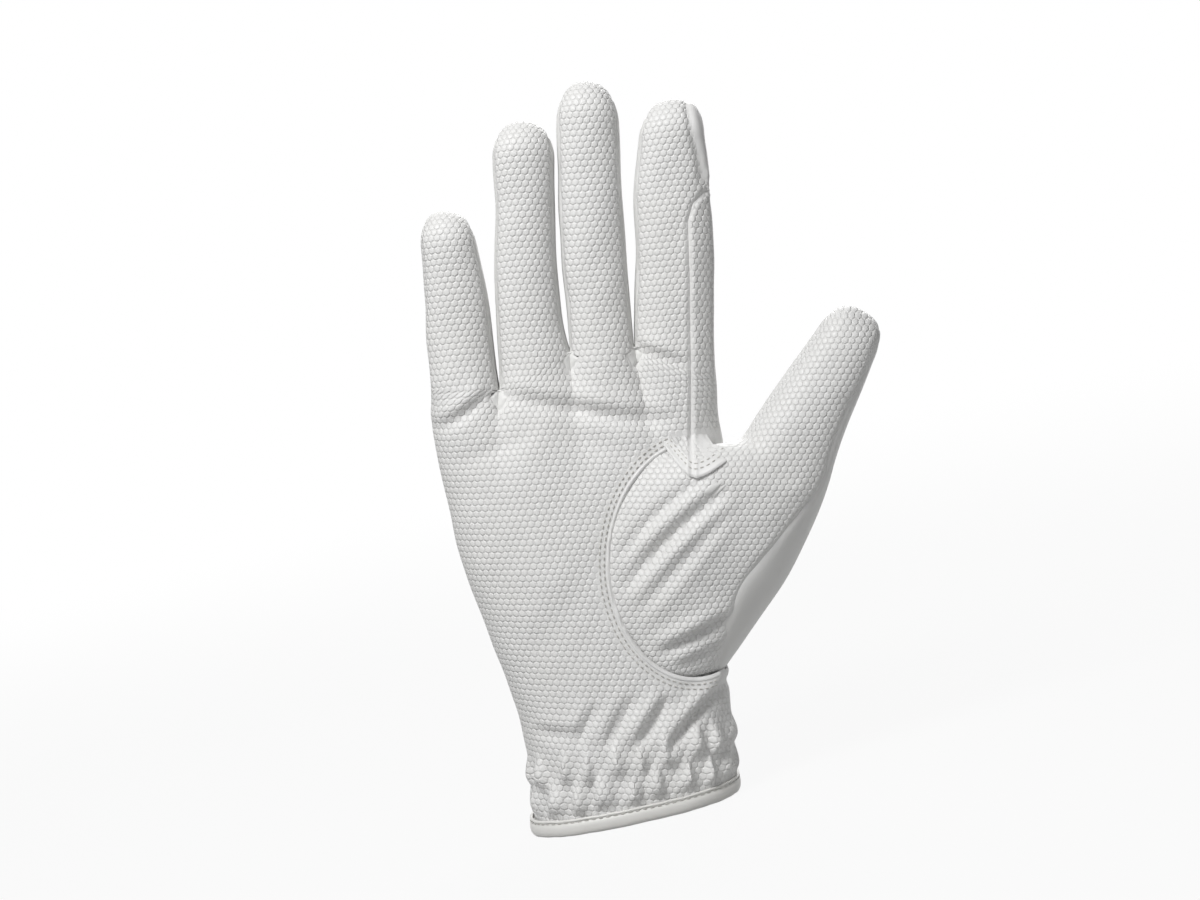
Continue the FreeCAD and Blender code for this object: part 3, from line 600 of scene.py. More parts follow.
@dataclass
class Bends:
    """The two joints of a digit and where its panels are parted."""

    digit: Digit
    joints: tuple[str, str]
    reach: float = 9.0

    def __post_init__(self) -> None:
        """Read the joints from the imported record."""
        places = {j["name"]: Vector(j["pos_m"]) for j in frame["record"]["behaviour"]["joints"]
                  if "pos_m" in j}
        self.points = [places[name] for name in self.joints]
        self.up = Vector(upright(self.digit.along) / MM).normalized()

    def span(self, index: int) -> tuple[Vector, Vector]:
        """Points a reach below and above a joint, along the digit."""
        middle = self.points[index]
        return middle - self.up * self.reach * MM, middle + self.up * self.reach * MM

    def height(self, points: Array) -> Array:
        """Height of points of the hand's plane along the digit, in millimetres from its first joint."""
        first = np.array(self.points[0]) / MM
        return (upright(points) / MM - first) @ np.array(self.up)

    def between(self) -> float:
        """Distance between the two joints in millimetres."""
        return (self.points[1] - self.points[0]).length / MM

    def dress(self, obj: Object, length: int) -> None:
        """Bake a panel's transform into its mesh; the span of its joint, the first for length 0 and the
        second for 1, is found but not used.
        """
        start, end = self.span(length)
        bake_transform(obj)
        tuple(start)
        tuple(end)


# ---- Folds and gathers ----

@dataclass(frozen=True)
class Fold:
    """A crease of the leather along a path in the hand's plane, with an optional crest beside it."""

    path: tuple[Pair, ...]
    depth: float
    width: float
    crest: float = 0.0
    crest_at: float = 3.0
    crest_width: float = 2.6

    def height(self, x: Array, z: Array) -> Array:
        """Rise of the skin in millimetres.

        Args:
            x: places across.
            z: places along.

        Returns:
            Heights, negative in the groove.
        """
        d, signed, share = segment_distance(x, z, curved(self.path))
        fade = np.clip(np.sin(np.pi * np.clip(share, 0.0, 1.0)), 0.0, 1.0) ** 0.6
        groove = -1.6 * self.depth * bell(d, 0.0, self.width)
        rise = 1.7 * self.crest * bell(signed, self.crest_at, self.crest_width)
        return (groove + rise) * fade


@dataclass(frozen=True)
class Gathers:
    """Rows of pointed puckers that the elastic draws into the cuff."""

    peaks: tuple[float, ...] = (25.5, 16.5)
    row: float = 9.5
    pitch: float = 8.4
    rise: float = 2.6
    foot: float = 4.5

    def height(self, u: Array, h: Array) -> Array:
        """Rise of the skin.

        Args:
            u: places round the cuff in millimetres.
            h: heights above the cuff edge.

        Returns:
            Heights in millimetres.
        """
        wobble = 0.9 * np.sin(u * 0.31) + 0.5 * np.sin(u * 0.83 + 1.0)
        total = np.zeros_like(u)
        for k, peak in enumerate(self.peaks):
            t = (peak + 0.6 * np.sin(u * 0.45 + k) - h) / self.row
            s = (u + wobble) / self.pitch + 0.5 * k
            s = np.abs(s - np.round(s))
            width = 0.2 + 0.3 * np.clip(t, 0.0, 1.0)
            ridge = 0.5 + 0.5 * np.cos(np.pi * np.minimum(s / width, 1.0))
            window = smoothstep(-0.1, 0.75, t) * smoothstep(1.35, 0.8, t)
            total += self.rise * ridge * window
        return total * smoothstep(self.foot - 1.0, self.foot + 2.0, h)


class Relief:
    """Folds of the palm side of the hand and of the thumb."""

    PALM = (
        Fold(((-41.5, 130.5), (-30.0, 127.5), (-14.0, 125.0), (0.0, 122.5), (12.0, 122.5)),
             1.2, 2.3, 0.55, 4.2, 3.0),
        Fold(((-62.0, 119.0), (-53.0, 123.0), (-44.5, 131.0)), 0.9, 2.0, 0.5, 3.2),
        Fold(((-1.5, 144.5), (6.0, 142.5), (16.0, 139.0)), 0.8, 1.8, 0.4, 3.0),
        Fold(((-58.0, 108.0), (-45.0, 113.0), (-30.0, 119.0)), 0.35, 3.0),
        Fold(((-20.0, 118.0), (-4.0, 113.0), (8.0, 108.0)), 0.35, 3.5),
        Fold(((9.0, 20.0), (15.0, 29.0), (22.0, 36.0), (30.5, 42.0)), 1.4, 1.7, 0.9, 3.6, 2.6),
        Fold(((-0.5, 21.0), (4.0, 29.0), (10.0, 38.0)), 1.2, 1.8, 0.8, 3.6, 2.6),
        Fold(((-9.5, 22.0), (-6.0, 30.0), (-1.0, 38.5)), 1.0, 1.8, 0.4, 3.2, 2.6),
        Fold(((-18.5, 22.0), (-16.0, 29.0), (-12.0, 36.0)), 0.7, 1.8, 0.25, 3.0),
        Fold(((-32.0, 27.0), (-24.0, 25.0), (-16.0, 27.0)), 0.6, 2.2, 0.3, 3.0),
        Fold(((18.0, 45.5), (25.0, 46.0), (32.0, 49.5)), 0.6, 1.8, 0.4, 2.6),
    )
    THUMB = (
        Fold(((28.0, 103.0), (16.0, 94.0), (4.0, 82.0), (-4.5, 70.0)), 1.3, 2.2, 0.8, 4.0, 2.8),
        Fold(((22.0, 107.0), (10.0, 99.0), (0.0, 90.0), (-5.5, 80.0)), 0.9, 2.0, 0.5, 3.4),
        Fold(((28.0, 96.0), (19.0, 86.0), (8.0, 73.0), (-1.5, 62.0)), 0.5, 2.4, 0.4, 4.0),
        Fold(((6.5, 51.0), (14.0, 54.5), (22.0, 58.5), (29.5, 63.0)), 1.3, 1.7, 0.9, 3.4, 2.4),
        Fold(((11.0, 46.5), (19.0, 49.5), (27.0, 54.0)), 0.7, 1.6, 0.4, 2.8),
        Fold(((34.0, 112.0), (40.0, 107.0), (49.0, 103.0)), 0.35, 2.6),
    )
    GATHERS = Gathers()

    @classmethod
    def palm(cls, points: Array, chart: Array) -> Array:
        """Rise of the palm's leather.

        Args:
            points: grid in the hand's plane.
            chart: its map on the hide.

        Returns:
            Heights in millimetres.
        """
        x, z = plane(points)
        total = sum((fold.height(x, z) for fold in cls.PALM), np.zeros_like(x))
        _, above = stood(x, z)
        u = chart[..., 0]
        low, high = u.min(axis=1, keepdims=True), u.max(axis=1, keepdims=True)
        inner = smoothstep(0.84, 0.6, np.abs(2 * (u - low) / (high - low) - 1))
        total += cls.GATHERS.height(u, above) * (0.15 + 0.85 * inner)
        swell = smoothstep(40.0, 75.0, z) * smoothstep(150.0, 125.0, z)
        total += 0.32 * ripple(x, z, 16.0, 4) * (0.35 + swell)
        total += 0.10 * ripple(x, z, 6.0, 9)
        return total

    @classmethod
    def thumb(cls, points: Array) -> Array:
        """Rise of the thumb's front leather."""
        x, z = plane(points)
        total = sum((fold.height(x, z) for fold in cls.THUMB), np.zeros_like(x))
        return total + 0.25 * ripple(x, z, 13.0, 21) + 0.08 * ripple(x, z, 5.0, 22)


# ---- Finishes ----

class Node:
    """Short ways to add and join shader nodes in one tree."""

    def __init__(self, tree: bpy.types.NodeTree) -> None:
        """Keep the node tree to write in."""
        self.tree = tree

    def add(self, kind: str, **values: object) -> bpy.types.Node:
        """New node with attributes set by name."""
        node = self.tree.nodes.new(kind)
        for key, value in values.items():
            setattr(node, key, value)
        return node

    def join(self, source: Socket, target: Socket) -> None:
        """Link two sockets."""
        self.tree.links.new(source, target)

    def put(self, target: Socket, value: object) -> None:
        """Link a socket, or set a plain value."""
        if isinstance(value, Socket):
            self.join(value, target)
        else:
            target.default_value = value

    def fill(self, node: bpy.types.Node, **values: object) -> bpy.types.Node:
        """Link or set inputs by name, written with _ for a space."""
        for name, value in values.items():
            self.put(node.inputs[name.replace("_", " ")], value)
        return node

    def math(self, operation: str, *values: object, kind: str = "ShaderNodeMath") -> Socket:
        """Result of a maths node.

        Args:
            operation: its name.
            values: sockets or numbers.
            kind: kind of maths node.

        Returns:
            The output socket.
        """
        node = self.add(kind, operation=operation)
        for socket, value in zip(node.inputs, values):
            self.put(socket, value)
        return node.outputs[0]

    def vector(self, operation: str, *values: object) -> Socket:
        """Result of a vector maths node."""
        return self.math(operation, *values, kind="ShaderNodeVectorMath")

    def scaled(self, vector: Socket, factor: float) -> Socket:
        """A vector times a number."""
        node = self.add("ShaderNodeVectorMath", operation="SCALE")
        return self.fill(node, Vector=vector, Scale=factor).outputs[0]

    def ramp(self, value: Socket, low: float, high: float,
             to_low: float = 0.0, to_high: float = 1.0) -> Socket:
        """Smooth step of a value between two limits."""
        node = self.add("ShaderNodeMapRange", interpolation_type="SMOOTHSTEP")
        for socket, item in zip(node.inputs, (value, low, high, to_low, to_high)):
            self.put(socket, item)
        return node.outputs[0]

    def noise(self, where: Socket, scale: float, detail: float = 2.0) -> bpy.types.Node:
        """A noise node."""
        return self.fill(self.add("ShaderNodeTexNoise"), Vector=where, Scale=scale, Detail=detail)

    def blend_colour(self, share: object, a: object, b: object) -> Socket:
        """Mix of two colours.

        Args:
            share: socket or number from 0 to 1.
            a: colour at 0.
            b: colour at 1.

        Returns:
            The colour socket.
        """
        node = self.add("ShaderNodeMix", data_type="RGBA")
        self.put(node.inputs["Factor"], share)
        for name, value in (("A", a), ("B", b)):
            self.put(next(s for s in node.inputs if s.name == name and s.type == "RGBA"), value)
        return next(s for s in node.outputs if s.type == "RGBA")

    def place(self) -> Socket:
        """The object's own coordinates."""
        return self.add("ShaderNodeTexCoord").outputs["Object"]

    def raise_by(self, height: Socket, shader: bpy.types.Node) -> None:
        """Raise a shader's surface by a height in metres."""
        bump = self.fill(self.add("ShaderNodeBump"), Distance=1.0, Height=height)
        self.join(bump.outputs[0], shader.inputs["Normal"])


def new_material(name: str) -> tuple[bpy.types.Material, Node, bpy.types.Node]:
    """A plain material, its tree and its shader."""
    material = bpy.data.materials.new(name)
    material.use_nodes = True
    return material, Node(material.node_tree), material.node_tree.nodes["Principled BSDF"]


HALF_CELL = math.sqrt(3.0) / 2   # half the height of a repeat of six-sided scales of unit pitch
HIDE_MAP = "hide"
PRESSED = "pressed"
HIDE_SCALE = 100.0           # millimetres of hide for one unit of the map
SHARP = math.radians(50.0)   # past this an edge shades sharp


@dataclass(frozen=True)
class Hide:
    """A synthetic leather: its colour, its grain and, where it is embossed, its scales, with painted shade
    in the grooves between them.
    """

    name: str
    slot: str
    colour: tuple[float, float, float] = (0.668, 0.666, 0.66)
    # colour of the grooves between the scales: painted shade in the recesses
    groove: tuple[float, float, float] = (0.628, 0.624, 0.612)
    roughness: float = 0.5
    embossed: bool = False
    pitch: float = 2.15
    relief: float = 0.00020
    grain: float = 0.00003
    grain_scale: float = 900.0
    shift: tuple[float, float, float] = (400.0, 692.8203, 0.0)

    @cache
    def material(self) -> bpy.types.Material:
        """The material, made once.

        Returns:
            A node material; an embossed one reads the hide map.
        """
        material, tree, shader = new_material(self.name)
        shader.inputs["Specular IOR Level"].default_value = 0.38
        place = tree.place()
        fine = tree.noise(place, self.grain_scale, 3.0).outputs["Fac"]
        broad = tree.noise(place, 38.0, 3.0).outputs["Fac"]
        height = tree.math("MULTIPLY", fine, self.grain)
        tint = tree.ramp(broad, 0.3, 0.7, 0.0, 0.35)
        aged = [c * share for c, share in zip(self.colour, (0.965, 0.96, 0.94))]
        colour = tree.blend_colour(tint, (*self.colour, 1.0), (*aged, 1.0))
        if self.embossed:
            edge = self.scales(tree)
            plateau = tree.ramp(edge, 0.0, 0.20)
            dome = tree.math("MULTIPLY", tree.ramp(edge, 0.1, 0.5), 0.3)
            pressed = tree.add("ShaderNodeAttribute", attribute_name=PRESSED).outputs["Fac"]
            proud = tree.math("SUBTRACT", 1.0, pressed)
            scale = tree.math("ADD", plateau, dome)
            raised = tree.math("MULTIPLY", scale, tree.math("MULTIPLY", proud, self.relief))
            height = tree.math("ADD", height, raised)
            # painted shade: the grooves between the scales are coloured darker, less where the scales are
            # pressed flat
            painted_groove_shade = tree.math("MULTIPLY", tree.ramp(edge, 0.01, 0.10, 1.0, 0.0), proud)
            colour = tree.blend_colour(painted_groove_shade, colour, (*self.groove, 1.0))
        rough = tree.ramp(fine, 0.3, 0.7, self.roughness - 0.05, self.roughness + 0.05)
        tree.raise_by(height, shader)
        tree.fill(shader, Roughness=rough, Base_Color=colour)
        return material

    def scales(self, tree: Node) -> Socket:
        """Distance in from the edge of the six-sided scales.

        Args:
            tree: where the nodes go.

        Returns:
            Socket: 0 on a scale's edge, 0.5 at its middle, in units of the pitch.
        """
        chart = tree.add("ShaderNodeUVMap", uv_map=HIDE_MAP).outputs[0]
        place = tree.scaled(chart, HIDE_SCALE / self.pitch)
        warp = tree.noise(place, 0.9, 1.0).outputs["Color"]
        shift = tree.scaled(tree.vector("SUBTRACT", warp, (0.5, 0.5, 0.5)), 0.19)
        place = tree.vector("ADD", tree.vector("ADD", place, shift), self.shift)
        half = (0.5, HALF_CELL, 0.0)
        found = []
        for where in (place, tree.vector("ADD", place, half)):
            inside = tree.vector("MODULO", where, (1.0, 2 * HALF_CELL, 1.0))
            found.append(self.inner_distance(tree, tree.vector("SUBTRACT", inside, half)))
        return tree.math("MAXIMUM", *found)

    @staticmethod
    def inner_distance(tree: Node, where: Socket) -> Socket:
        """Distance in from the edge of a six-sided cell round the origin."""
        parts = tree.fill(tree.add("ShaderNodeSeparateXYZ"), Vector=where)
        x, y = (tree.math("ABSOLUTE", parts.outputs[k]) for k in (0, 1))
        slant = tree.math("ADD", tree.math("MULTIPLY", x, 0.5), tree.math("MULTIPLY", y, HALF_CELL))
        return tree.math("SUBTRACT", 0.5, tree.math("MAXIMUM", x, slant))


@dataclass(frozen=True)
class Woven:
    """Narrow woven or pile goods: elastic, thread, hook and loop tape."""

    name: str
    colour: tuple[float, float, float]
    slot: str = ""
    across: float = 1400.0
    relief: float = 0.00012
    roughness: float = 0.85
    sheen: float = 0.3

    @cache
    def material(self) -> bpy.types.Material:
        """The material, made once.

        Returns:
            A node material with ribs and a noise of fibres.
        """
        material, tree, shader = new_material(self.name)
        tree.fill(shader, Roughness=self.roughness, Sheen_Weight=self.sheen)
        place = tree.place()
        wave = tree.add("ShaderNodeTexWave", bands_direction="Z")
        tree.fill(wave, Vector=place, Scale=self.across / 6.28, Distortion=1.2)
        fibre = tree.noise(place, self.across * 1.7, 3.0).outputs["Fac"]
        ribs = tree.math("MULTIPLY", wave.outputs["Fac"], 0.6)
        mixed = tree.math("ADD", ribs, tree.math("MULTIPLY", fibre, 0.5))
        tree.raise_by(tree.math("MULTIPLY", mixed, self.relief), shader)
        shade = tuple(c * 0.86 for c in self.colour)
        colour = tree.blend_colour(tree.ramp(mixed, 0.3, 0.8), (*shade, 1.0), (*self.colour, 1.0))
        tree.fill(shader, Base_Color=colour)
        return material


class Finish(Enum):
    """The finishes of the glove."""

    EMBOSSED = Hide("embossed leather", "embossed_leather", embossed=True)
    SMOOTH = Hide("smooth leather", "smooth_leather", colour=(0.64, 0.64, 0.63), roughness=0.46)
    BINDING = Hide("binding leather", "binding", colour=(0.66, 0.655, 0.635), roughness=0.42, grain=0.00002)
    LINING = Woven("inner lining", (0.56, 0.56, 0.545), across=2600.0, relief=0.00006)
    ELASTIC = Woven("elastic tape", (0.62, 0.62, 0.60), "elastic")
    THREAD = Woven("sewing thread", (0.50, 0.49, 0.46), across=5200.0, relief=0.00004)
    HOOK = Woven("hook tape", (0.60, 0.60, 0.59), "hook_tape", across=3600.0, relief=0.0003, sheen=0.0)
    LOOP = Woven("loop tape", (0.64, 0.64, 0.63), "loop_tape", across=3000.0, relief=0.0003, sheen=0.6)

    def material(self) -> bpy.types.Material:
        """The finish's material."""
        return self.value.material()

    def dress(self, obj: Object, *names: str) -> Object:
        """Hide the CAD nodes of these names that a piece stands for."""
        nodes = [name for name in names if name in frame["nodes"]]
        if nodes:
            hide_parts(*nodes)
        return obj


# ---- Sheets of leather ----

def blank(rows: int, columns: int) -> Array:
    """Array of ones over the faces of a grid: every face is kept."""
    return np.ones((rows - 1, columns - 1), bool)


@dataclass
class Sheet:
    """A panel of leather: its outer skin, its map on the hide and what is cut from it."""

    points: Array
    chart: Array
    normals: Optional[Array] = None
    keep: Optional[Array] = None
    thickness: float = LEATHER

    def __post_init__(self) -> None:
        """Fill in the normals and the faces."""
        if self.normals is None:
            self.normals = grid_normals(self.points)
        if self.keep is None:
            self.keep = blank(*self.points.shape[:2])

    def again(self) -> "Sheet":
        """The same leather as a new, uncut sheet."""
        return Sheet(self.points, self.chart, self.normals)

    def moved(self, height: Array) -> "Sheet":
        """Move the skin along its normals by a height for each point."""
        self.points = self.points + self.normals * height[..., None]
        return self

    def rolled(self, borders: str, drop: float = 0.45, reach: float = 1.3, lip: float = 0.12) -> "Sheet":
        """Turn the sewn borders under.

        Args:
            borders: any of "l", "r", "b", "t" for left, right, bottom and top.
            drop: how far the edge sinks.
            reach: how far from the edge it starts.
            lip: rise of the leather just beside it.

        Returns:
            The sheet itself.
        """
        distance = np.full(self.points.shape[:2], 1e9)
        for border in borders:
            distance = np.minimum(distance, self.from_border(border))
        self.sunk(distance, drop, reach, lip, 1.6, 0.7)
        return self.flattened(distance, 0.4 * reach, 1.1 * reach)

    def sunk(self, distance: Array, drop: float, reach: float, lip: float,
             peak: float = 1.5, width: float = 0.6) -> "Sheet":
        """Turn the leather under along a line, with a lip whose place and width are shares of the reach."""
        amount = -drop * (1 - smoothstep(0.0, reach, distance))
        return self.moved(amount + lip * bell(distance, peak * reach, width * reach))

    def flattened(self, distance: Array, near: float, far: float, most: float = 1.0) -> "Sheet":
        """Press the scales flat beside a line."""
        return self.pressed(most * (1 - smoothstep(near, far, distance)))

    def pressed(self, amount: Array) -> "Sheet":
        """Press the scales flat by an amount from 0 to 1 for each point."""
        self.chart = np.dstack([self.chart[..., :2], np.maximum(self.chart[..., 2], amount)])
        return self

    def from_border(self, border: str) -> Array:
        """Distance of every point from one border, measured along the grid."""
        axis = 1 if border in "lr" else 0
        step = np.linalg.norm(np.diff(self.points, axis=axis), axis=-1)
        if border in "rt":
            step = np.flip(step, axis)
        total = np.cumsum(step, axis=axis)
        zero = np.zeros_like(np.take(total, [0], axis=axis))
        total = np.concatenate([zero, total], axis=axis)
        return np.flip(total, axis) if border in "rt" else total

    def flanged(self, borders: str, drop: float = 1.1, out: float = 0.7, fade: int = 0) -> "Sheet":
        """Add the seam allowance that is turned in under the neighbouring leather.

        Args:
            borders: any of "l", "r", "b", "t".
            drop: how deep its edge lies.
            out: how far it reaches under the neighbour.
            fade: number of rows at the top over which it reaches less far.

        Returns:
            The sheet itself.
        """
        for border in borders:
            reach = out
            if fade and border in "lr":
                left = np.arange(len(self.points))[::-1] / fade
                reach = (out * np.clip(left - 0.5, 0.0, 1.0))[:, None, None]
            axis, end = (1 if border in "lr" else 0), (0 if border in "lb" else -1)
            near = 1 if end == 0 else -2
            edge, away = np.take(self.points, [end], axis), np.take(self.points, [end], axis)
            away = away - np.take(self.points, [near], axis)
            size = np.maximum(np.linalg.norm(away, axis=-1, keepdims=True), 1e-6)
            chart = np.take(self.chart, [end], axis)
            run = (chart - np.take(self.chart, [near], axis)) / size
            normal = np.take(self.normals, [3 if end == 0 else -4], axis)
            flange = edge + away / size * reach - normal * drop
            parts = ((self.points, flange), (self.chart, chart + run * drop), (self.normals, normal),
                     (self.keep, np.take(self.keep, [end], axis)))
            joined_parts = [np.concatenate([b, a] if end == 0 else [a, b], axis) for a, b in parts]
            self.points, self.chart, self.normals, self.keep = joined_parts
        return self

    def trimmed(self, keep_side: Plane) -> "Sheet":
        """Cut the sheet along a line in the hand's plane and bring its edge onto the line.

        Args:
            keep_side: signed distance of (x, z), positive where leather stays.

        Returns:
            The sheet itself.
        """
        x, z = plane(self.points)
        d = keep_side(x, z)
        step = 0.05
        gx = (keep_side(x + step, z) - keep_side(x - step, z)) / (2 * step)
        gz = (keep_side(x, z + step) - keep_side(x, z - step)) / (2 * step)
        centre = (d[:-1, :-1] + d[1:, :-1] + d[:-1, 1:] + d[1:, 1:]) / 4
        self.keep = self.keep & (centre > 0)
        touched = np.zeros(d.shape, bool)
        gone = np.zeros(d.shape, bool)
        for di, dj in ((0, 0), (0, 1), (1, 0), (1, 1)):
            rows, cols = self.keep.shape
            touched[di:di + rows, dj:dj + cols] |= self.keep
            gone[di:di + rows, dj:dj + cols] |= centre <= 0
        edge = touched & gone
        cols_step = np.gradient(self.points, axis=1)
        rows_step = np.gradient(self.points, axis=0)
        a, b = cols_step[..., 0], rows_step[..., 0]
        c, e = cols_step[..., 2], rows_step[..., 2]
        det = a * e - b * c
        safe = np.where(np.abs(det) < 1e-4, 1.0, det)
        mx, mz = -d * gx, -d * gz
        dj = np.clip((e * mx - b * mz) / safe, -0.9, 0.9)
        di = np.clip((-c * mx + a * mz) / safe, -0.9, 0.9)
        move = cols_step * dj[..., None] + rows_step * di[..., None]
        usable = (edge & (np.abs(det) >= 1e-4) & (np.hypot(gx, gz) > 0.6))[..., None]
        self.points = np.where(usable, self.points + move, self.points)
        across, along = (np.gradient(self.chart, axis=axis) for axis in (1, 0))
        moved = self.chart + across * dj[..., None] + along * di[..., None]
        self.chart = np.where(usable, moved, self.chart)
        return self

    def rows(self, first: int, last: int) -> "Sheet":
        """The rows from first up to and including last, as a sheet of its own."""
        cut = slice(first, last + 1)
        return Sheet(self.points[cut], self.chart[cut], self.normals[cut], self.keep[first:last],
                     self.thickness)


def chart_of(points: Array, anchor: int, u0: float = 0.0, v0: Optional[Array] = None) -> Array:
    """Map of a grid on the hide, true to length across and along.

    Args:
        points: grid of points.
        anchor: column from which places across are measured.
        u0: place across of that column.
        v0: place along of the first row, by column.

    Returns:
        Array (rows, columns, 3): across, along, and how far the scales are pressed flat.
    """
    across = np.linalg.norm(np.diff(points, axis=1), axis=-1)
    total = np.concatenate([np.zeros((points.shape[0], 1)), np.cumsum(across, axis=1)], axis=1)
    u = total - total[:, anchor:anchor + 1] + u0
    along = np.linalg.norm(np.diff(points, axis=0), axis=-1)
    v = np.concatenate([np.zeros((1, points.shape[1])), np.cumsum(along, axis=0)], axis=0)
    base = points[0, :, 2] if v0 is None else v0
    return np.stack([u, v + base[None, :], np.zeros_like(u)], -1)


def shell_arrays(sheet: Sheet) -> tuple[Array, Array, Array, Array]:
    """Closed shell of a sheet.

    Args:
        sheet: the panel.

    Returns:
        Vertices in metres, faces, map by vertex, and a material number by face (0 skin, 1 inside).
    """
    rows, columns = sheet.points.shape[:2]
    index = np.arange(rows * columns).reshape(rows, columns)
    quads = np.stack([index[:-1, :-1], index[:-1, 1:], index[1:, 1:], index[1:, :-1]], -1)
    quads = quads[sheet.keep]
    used, flat = np.unique(quads, return_inverse=True)
    quads = flat.reshape(-1, 4)
    outer = sheet.points.reshape(-1, 3)[used]
    inner = outer - grid_normals(sheet.points).reshape(-1, 3)[used] * sheet.thickness
    chart = sheet.chart.reshape(-1, 3)[used]
    n = len(used)
    edges = np.concatenate([quads[:, [k, (k + 1) % 4]] for k in range(4)])
    forward = edges[:, 0].astype(np.int64) * n + edges[:, 1]
    backward = edges[:, 1].astype(np.int64) * n + edges[:, 0]
    rim = edges[~np.isin(forward, backward)]
    rims = np.stack([rim[:, 1], rim[:, 0], rim[:, 0] + n, rim[:, 1] + n], -1)
    faces = np.concatenate([quads, quads[:, ::-1] + n, rims])
    slots = np.concatenate([np.zeros(len(quads), int), np.ones(len(quads), int), np.zeros(len(rims), int)])
    return upright(np.concatenate([outer, inner])), faces, np.concatenate([chart, chart]), slots


def placed(name: str, data: bpy.types.ID) -> Object:
    """New object in the scene."""
    obj = bpy.data.objects.new(name, data)
    bpy.context.scene.collection.objects.link(obj)
    return obj


def mesh_object(name: str, vertices: Array, faces: Array | list, materials: Sequence[bpy.types.Material],
                chart: Optional[Array] = None, slots: Optional[Array] = None) -> Object:
    """Object at the origin from plain arrays.

    Args:
        name: piece name.
        vertices: places in metres.
        faces: corner numbers.
        materials: its materials.
        chart: map on the hide by vertex, in millimetres.
        slots: material number by face.

    Returns:
        The new object, smooth shaded.
    """
    mesh = bpy.data.meshes.new(name)
    mesh.from_pydata(np.asarray(vertices).tolist(), [], [list(map(int, f)) for f in faces])
    for material in materials:
        mesh.materials.append(material)
    if slots is not None:
        mesh.polygons.foreach_set("material_index", np.asarray(slots, np.int32))
    if chart is not None:
        layer = mesh.uv_layers.new(name=HIDE_MAP)
        corner = np.empty(len(mesh.loops), np.int32)
        mesh.loops.foreach_get("vertex_index", corner)
        layer.data.foreach_set("uv", (chart[corner, :2] / HIDE_SCALE).astype(np.float32).ravel())
        flat = mesh.attributes.new(PRESSED, "FLOAT", "POINT")
        flat.data.foreach_set("value", np.clip(chart[:, 2], 0.0, 1.0).astype(np.float32))
    mesh.polygons.foreach_set("use_smooth", np.ones(len(mesh.polygons), bool))
    mesh.set_sharp_from_angle(angle=SHARP)
    mesh.update()
    return placed(f"{name}_piece" if name in frame["nodes"] else name, mesh)


def leather_piece(name: str, sheets: Sequence[Sheet], finish: Finish, folds: Sequence[str] = ()) -> Object:
    """A piece of closed leather sheets that stands for the CAD node of its name, if there is one.

    Args:
        name: piece name.
        sheets: its panels.
        finish: finish of the skin.
        folds: further nodes that it replaces.

    Returns:
        The object, not yet riding on a body.
    """
    shells = [shell_arrays(sheet) for sheet in sheets]
    vertices, faces, chart, slots = (list(arrays) for arrays in zip(*shells))
    firsts = np.cumsum([0] + [len(v) for v in vertices[:-1]])
    faces = [f + first for f, first in zip(faces, firsts)]
    materials = [finish.material(), Finish.LINING.material()]
    obj = mesh_object(name, np.concatenate(vertices), np.concatenate(faces), materials,
                      np.concatenate(chart), np.concatenate(slots))
    return finish.dress(obj, name, *folds)


def closed_band(rings: Array) -> tuple[Array, list[list[int]]]:
    """Faces of a tube whose rings are rows of points; both ends are closed.

    Args:
        rings: array (rings, points, 3) in the hand's plane.

    Returns:
        Vertices in metres and faces.
    """
    count, size = rings.shape[:2]
    faces: list[list[int]] = []
    for i in range(count - 1):
        for j in range(size):
            k = (j + 1) % size
            faces.append([i * size + j, i * size + k, (i + 1) * size + k, (i + 1) * size + j])
    faces.append(list(range(size))[::-1])
    faces.append([(count - 1) * size + j for j in range(size)])
    return upright(rings.reshape(-1, 3)), faces


def outward(obj: Object) -> Object:
    """Turn every face of a closed piece outwards."""
    work = bmesh.new()
    work.from_mesh(obj.data)
    bmesh.ops.recalc_face_normals(work, faces=work.faces)
    work.to_mesh(obj.data)
    work.free()
    return obj


# ---- Stitches ----

